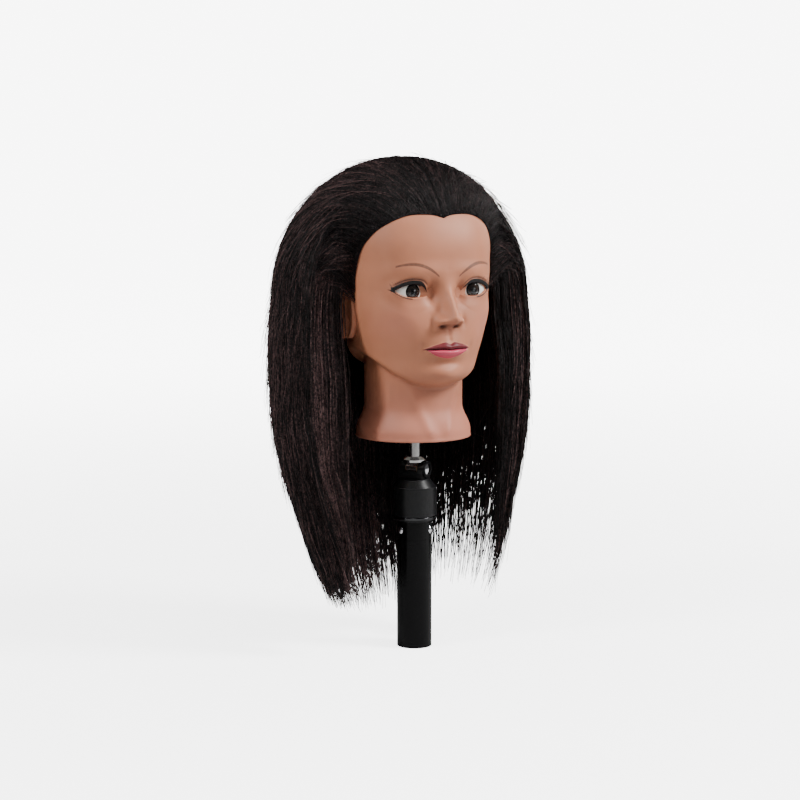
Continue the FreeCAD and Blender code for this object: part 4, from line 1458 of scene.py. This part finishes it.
    def under_layer(self) -> bpy.types.Object:
        """The closed sheet of hair under the strands, from the hairline over the dome and down.

        Its columns follow hair combed back from the hairline, left and right of the middle, and
        its lower edge ends in points of differing length.

        Returns:
            The object, with its tone and each point's place along it.
        """
        shape = self.shape
        count = 90
        along = np.linspace(0, 1, count)
        beta = np.linspace(-1, 1, 261)
        side = np.where(beta < 0, -1.0, 1.0)
        turn = shape.hairline_end * np.abs(beta) ** shape.sweep
        around = 180.0 - (180.0 - shape.front_turn - 3.0) * np.abs(beta)
        teeth = np.abs(np.sin(beta * 47) + 0.6 * np.sin(beta * 91 + 1.0))
        near_back = 1 - np.abs(beta)
        tip = np.where(side < 0, 156.0 - 20.0 * near_back**2,
                       214.0 - 78.0 * smoothstep(0.70, 0.92, near_back))
        tip = tip + 6.0 * np.sin(beta * 7 + 1) + 16.0 * teeth
        grids = []
        for lift, fill, drop in ((0.5, 0.90, 0.0), (-1.2, 0.78, 3.0)):
            n = len(beta)
            root = shape.scalp(side, turn, shape.hairline_height(turn) + 0.4 + drop, lift)
            s = Strands(side, root, around, np.full(n, fill), tip, shape.lift_for(turn))
            grids.append(shape.lines(s, count, np.zeros(n), np.ones(n)))
        front, back = grids
        away = unit(front - np.array([0.0, shape.middle, 300.0]))
        sunk = 1.5 * smoothstep(0.0, 0.05, along)[None, :, None]
        front, back = front - away * sunk, back - away * sunk
        ridge = 0.5 * np.sin(beta * 210)[:, None] + 0.4 * np.sin(beta * 388 + 2)[:, None]
        ridge = ridge * smoothstep(0.02, 0.2, along)
        front = front + away * ridge[..., None]
        points, faces = shell(front, back)
        tone = np.tile(np.repeat(0.15 + 0.10 * np.sin(beta * 60), count), 2)
        return put_mesh("hair_under_layer", points, faces,
                        {"tone": tone, "along": np.tile(along, 2 * len(beta))})

    def build(self) -> None:
        """Make the under-layer and the strand pieces and dress them; the hair nodes they stand for
        are hidden.
        """
        strand = HairFinish("hair_strands").make()
        under = HairFinish("hair_under", light=(0.020, 0.012, 0.013), roughness=0.55).make()
        top = ((Layer.HAIRLINE, 0.38), (Layer.CROWN, 0.50), (Layer.STRAY, 0.12))
        fall = ((Layer.TEMPLE, 0.38), (Layer.ENDS, 0.32), (Layer.UNDER, 0.14), (Layer.STRAY, 0.16))
        thin = ((Layer.TEMPLE, 0.32), (Layer.ENDS, 0.38), (Layer.UNDER, 0.12), (Layer.STRAY, 0.18))
        ends = ((Layer.BACK, 0.45), (Layer.ENDS, 0.35), (Layer.HAIRLINE, 0.2))
        pieces = [(self.under_layer(), under, ("hair_crown",))]
        for name, plan, side, seed, nodes in (
            ("hair_top_right", top, -1, 1, ()),
            ("hair_top_left", top, 1, 2, ()),
            ("hair_fall_right", fall, -1, 3, ("hair_right",)),
            ("hair_fall_left", thin, 1, 4, ("hair_left",)),
            ("hair_over", top, 0, 5, ()),
            ("hair_behind", ((Layer.BACK, 0.8), (Layer.UNDER, 0.2)), 0, 6, ("hair_back",)),
            ("hair_ends", ends, -1, 7, ()),
            ("hair_wisps", ((Layer.BACK, 0.55), (Layer.ENDS, 0.45)), 0, 8, ()),
        ):
            pieces.append((self.piece(name, plan, side, seed), strand, nodes))
        for piece, finish, nodes in pieces:
            finish.dress(piece)
            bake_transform(piece)
            if nodes:
                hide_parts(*nodes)
            log.info("%s: %d points", piece.name, len(piece.data.vertices))


# ---------------------------------------------------------------- stand and fittings


@dataclass
class Fittings:
    """Finishes of the post, the clamp and the pieces in the neck, which keep their shapes."""

    def finishes(self) -> dict[str, Finish]:
        """The finishes by name."""
        return {
            "enamel": Coated("post_enamel", (0.0022, 0.0022, 0.0024), (0.009, 0.009, 0.009), 0.17,
                             specular=0.12, texture=700.0, depth=0.00003).make(),
            "plastic": Coated("clamp_plastic", (0.0050, 0.0050, 0.0055), (0.016, 0.015, 0.015),
                              0.30, specular=0.30, texture=1600.0).make(),
            "nylon": Coated("white_nylon", (0.70, 0.69, 0.64), (0.52, 0.50, 0.45), 0.45).make(),
            "grey": Coated("grey_plastic", (0.17, 0.17, 0.17), (0.24, 0.23, 0.22), 0.50).make(),
            "friction": Coated("friction_fibre", (0.12, 0.07, 0.04), (0.20, 0.15, 0.10), 0.80,
                               texture=1200.0, depth=0.0002).make(),
            "chrome": Metal("bright_chrome", (0.78, 0.78, 0.80), (0.60, 0.60, 0.62), 0.10,
                            Grain.EVEN).make(),
            "smoked": Metal("black_chrome", (0.055, 0.055, 0.058), (0.10, 0.10, 0.10), 0.16).make(),
            "pin": Metal("turned_pin", (0.46, 0.45, 0.44), (0.30, 0.28, 0.26), 0.24).make(),
            "bright": Metal("bright_zinc", (0.70, 0.69, 0.68), (0.48, 0.46, 0.44), 0.18).make(),
            "zinc": Metal("zinc_steel", (0.50, 0.50, 0.49), (0.34, 0.32, 0.28), 0.30).make(),
        }

    def build(self) -> None:
        """Put a finish on each node that stays."""
        made = self.finishes()
        for finish, nodes in (
            ("enamel", ("post_tube",)),
            ("plastic", ("post_insert", "fork_housing", "bolt_ring")),
            ("chrome", ("rivets", "tilt_bolt")),
            ("smoked", ("swivel_ring",)),
            ("pin", ("stem_pin",)),
            ("bright", ("stem_knuckle",)),
            ("zinc", ("swivel_spindle", "wave_washer", "swivel_nut", "tilt_nut")),
            ("nylon", ("thrust_washer", "base_plug")),
            ("friction", ("friction_discs",)),
            ("grey", ("pin_sleeve", "neck_socket")),
        ):
            for node in nodes:
                made[finish].dress(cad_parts[node])
        log.info("finishes on %d nodes", len(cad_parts))


# ---------------------------------------------------------------- studio


@dataclass
class Studio:
    """Pale floor, soft light and the camera, a little above and to the head's own right."""

    azimuth: float = -27.0
    elevation: float = 7.0
    distance: float = 2.0
    aim_height: float = 0.250
    aim_left: float = 0.0145
    lens: float = 90.0
    sensor: float = 36.0
    lit_height: float = 0.30
    floor_radius: float = 6.0
    surround: float = 0.10
    backdrop: float = 8.0

    def floor(self) -> None:
        """A round floor in rings: pale and glowing to the camera, dim to all other rays."""
        ring = np.concatenate([np.linspace(0.02, 1, 20), np.linspace(1.2, self.floor_radius, 16)])
        around = np.linspace(0, 2 * np.pi, 96, endpoint=False)
        x = ring[:, None] * np.cos(around)[None] * 1000
        y = ring[:, None] * np.sin(around)[None] * 1000
        top = np.stack([x, y, np.full_like(x, -0.2)], -1)
        under = top[-1:] + np.array([0.0, 0.0, -20.0])
        floor = put_mesh("floor", *capped_rings(np.concatenate([top, under])))
        f = Finish("floor_paper")
        vary = f.noise(f.place(), 3.0, 3.0)
        colour = f.mix(vary, (0.90, 0.90, 0.90), (0.93, 0.93, 0.93))
        away = f.node("ShaderNodeVectorMath", {0: f.place()}, "Value", operation="LENGTH")
        glow = f.mix(away.step(0.0, 3.0), (0.45, 0.45, 0.45), (1.0, 1.0, 1.0))
        rough = 0.75 + vary * 0.1
        dim = f.mix(vary, (0.45, 0.45, 0.45), (0.50, 0.50, 0.50))
        paper = f.node("ShaderNodeBsdfPrincipled", {"Base Color": dim, "Roughness": rough})
        bright = f.node("ShaderNodeBsdfPrincipled", {
            "Base Color": colour, "Roughness": rough, "Emission Color": glow,
            "Emission Strength": self.backdrop})
        seen = f.node("ShaderNodeLightPath", output="Is Camera Ray")
        f.close(f.node("ShaderNodeMixShader", {0: seen, 1: paper, 2: bright})).dress(floor)

    def towards(self, azimuth: float, elevation: float) -> Vector:
        """The direction at an azimuth from the front and an elevation, in degrees."""
        a, e = math.radians(azimuth), math.radians(elevation)
        return Vector((math.sin(a) * math.cos(e), -math.cos(a) * math.cos(e), math.sin(e)))

    def lamp(self, name: str, azimuth: float, elevation: float, away: float,
             size: tuple[float, float], power: float) -> None:
        """A soft white area light that faces the head from a direction."""
        data = bpy.data.lights.new(name, "AREA")
        data.shape = "RECTANGLE"
        data.size, data.size_y = size
        data.energy = power
        obj = bpy.data.objects.new(name, data)
        way = self.towards(azimuth, elevation)
        obj.location = Vector((0, 0, self.lit_height)) + way * away
        obj.rotation_euler = way.to_track_quat("Z", "Y").to_euler()
        bpy.context.scene.collection.objects.link(obj)

    def lights(self) -> None:
        """A surround, bright to the camera only, and soft boxes with the key at the right."""
        world = bpy.data.worlds.new("white_surround")
        world.use_nodes = True
        tree = world.node_tree
        sky = tree.nodes["Background"]
        sky.inputs["Color"].default_value = (1.0, 1.0, 1.0, 1.0)
        seen = tree.nodes.new("ShaderNodeLightPath")
        strength = tree.nodes.new("ShaderNodeMapRange")
        strength.inputs["To Min"].default_value = self.surround
        strength.inputs["To Max"].default_value = self.backdrop
        tree.links.new(seen.outputs["Is Camera Ray"], strength.inputs["Value"])
        tree.links.new(strength.outputs[0], sky.inputs["Strength"])
        bpy.context.scene.world = world
        for name, azimuth, elevation, away, size, power in (
            ("key", 50.0, 36.0, 1.9, (0.6, 0.6), 68.0),
            ("fill", -84.0, 34.0, 2.0, (0.35, 0.9), 33.0),
            ("front", -34.0, 34.0, 2.2, (0.7, 0.7), 7.0),
            ("spark", 34.0, 3.0, 2.0, (0.12, 0.12), 1.6),
            ("side", 112.0, 20.0, 2.0, (0.3, 1.2), 7.0),
            ("top", -10.0, 74.0, 1.7, (0.6, 0.6), 6.0),
        ):
            self.lamp(name, azimuth, elevation, away, size, power)

    def camera(self) -> None:
        """Camera looking down a little, aimed left of the post so that the head stands right."""
        back = self.towards(self.azimuth, self.elevation)
        turn = math.radians(self.azimuth)
        right = Vector((math.cos(turn), math.sin(turn), 0.0))
        data = bpy.data.cameras.new("camera")
        data.lens = self.lens
        data.sensor_width = self.sensor
        data.clip_start, data.clip_end = 0.05, 40.0
        obj = bpy.data.objects.new("camera", data)
        aim = Vector((0, 0, self.aim_height)) - right * self.aim_left
        obj.location = aim + back * self.distance
        obj.rotation_euler = back.to_track_quat("Z", "Y").to_euler()
        bpy.context.scene.collection.objects.link(obj)
        bpy.context.scene.camera = obj

    def build(self) -> None:
        """Make the studio."""
        self.floor()
        self.lights()
        self.camera()


def main() -> None:
    """Build the studio, the stand's finishes, the face and the hair, in that order."""
    logging.basicConfig(level=logging.INFO, format="%(name)s %(message)s")
    Studio().build()
    Fittings().build()
    head = Head(Eye())
    Face(head).build()
    Hair(HairShape(head)).build()


if __name__ == "__main__":
    main()
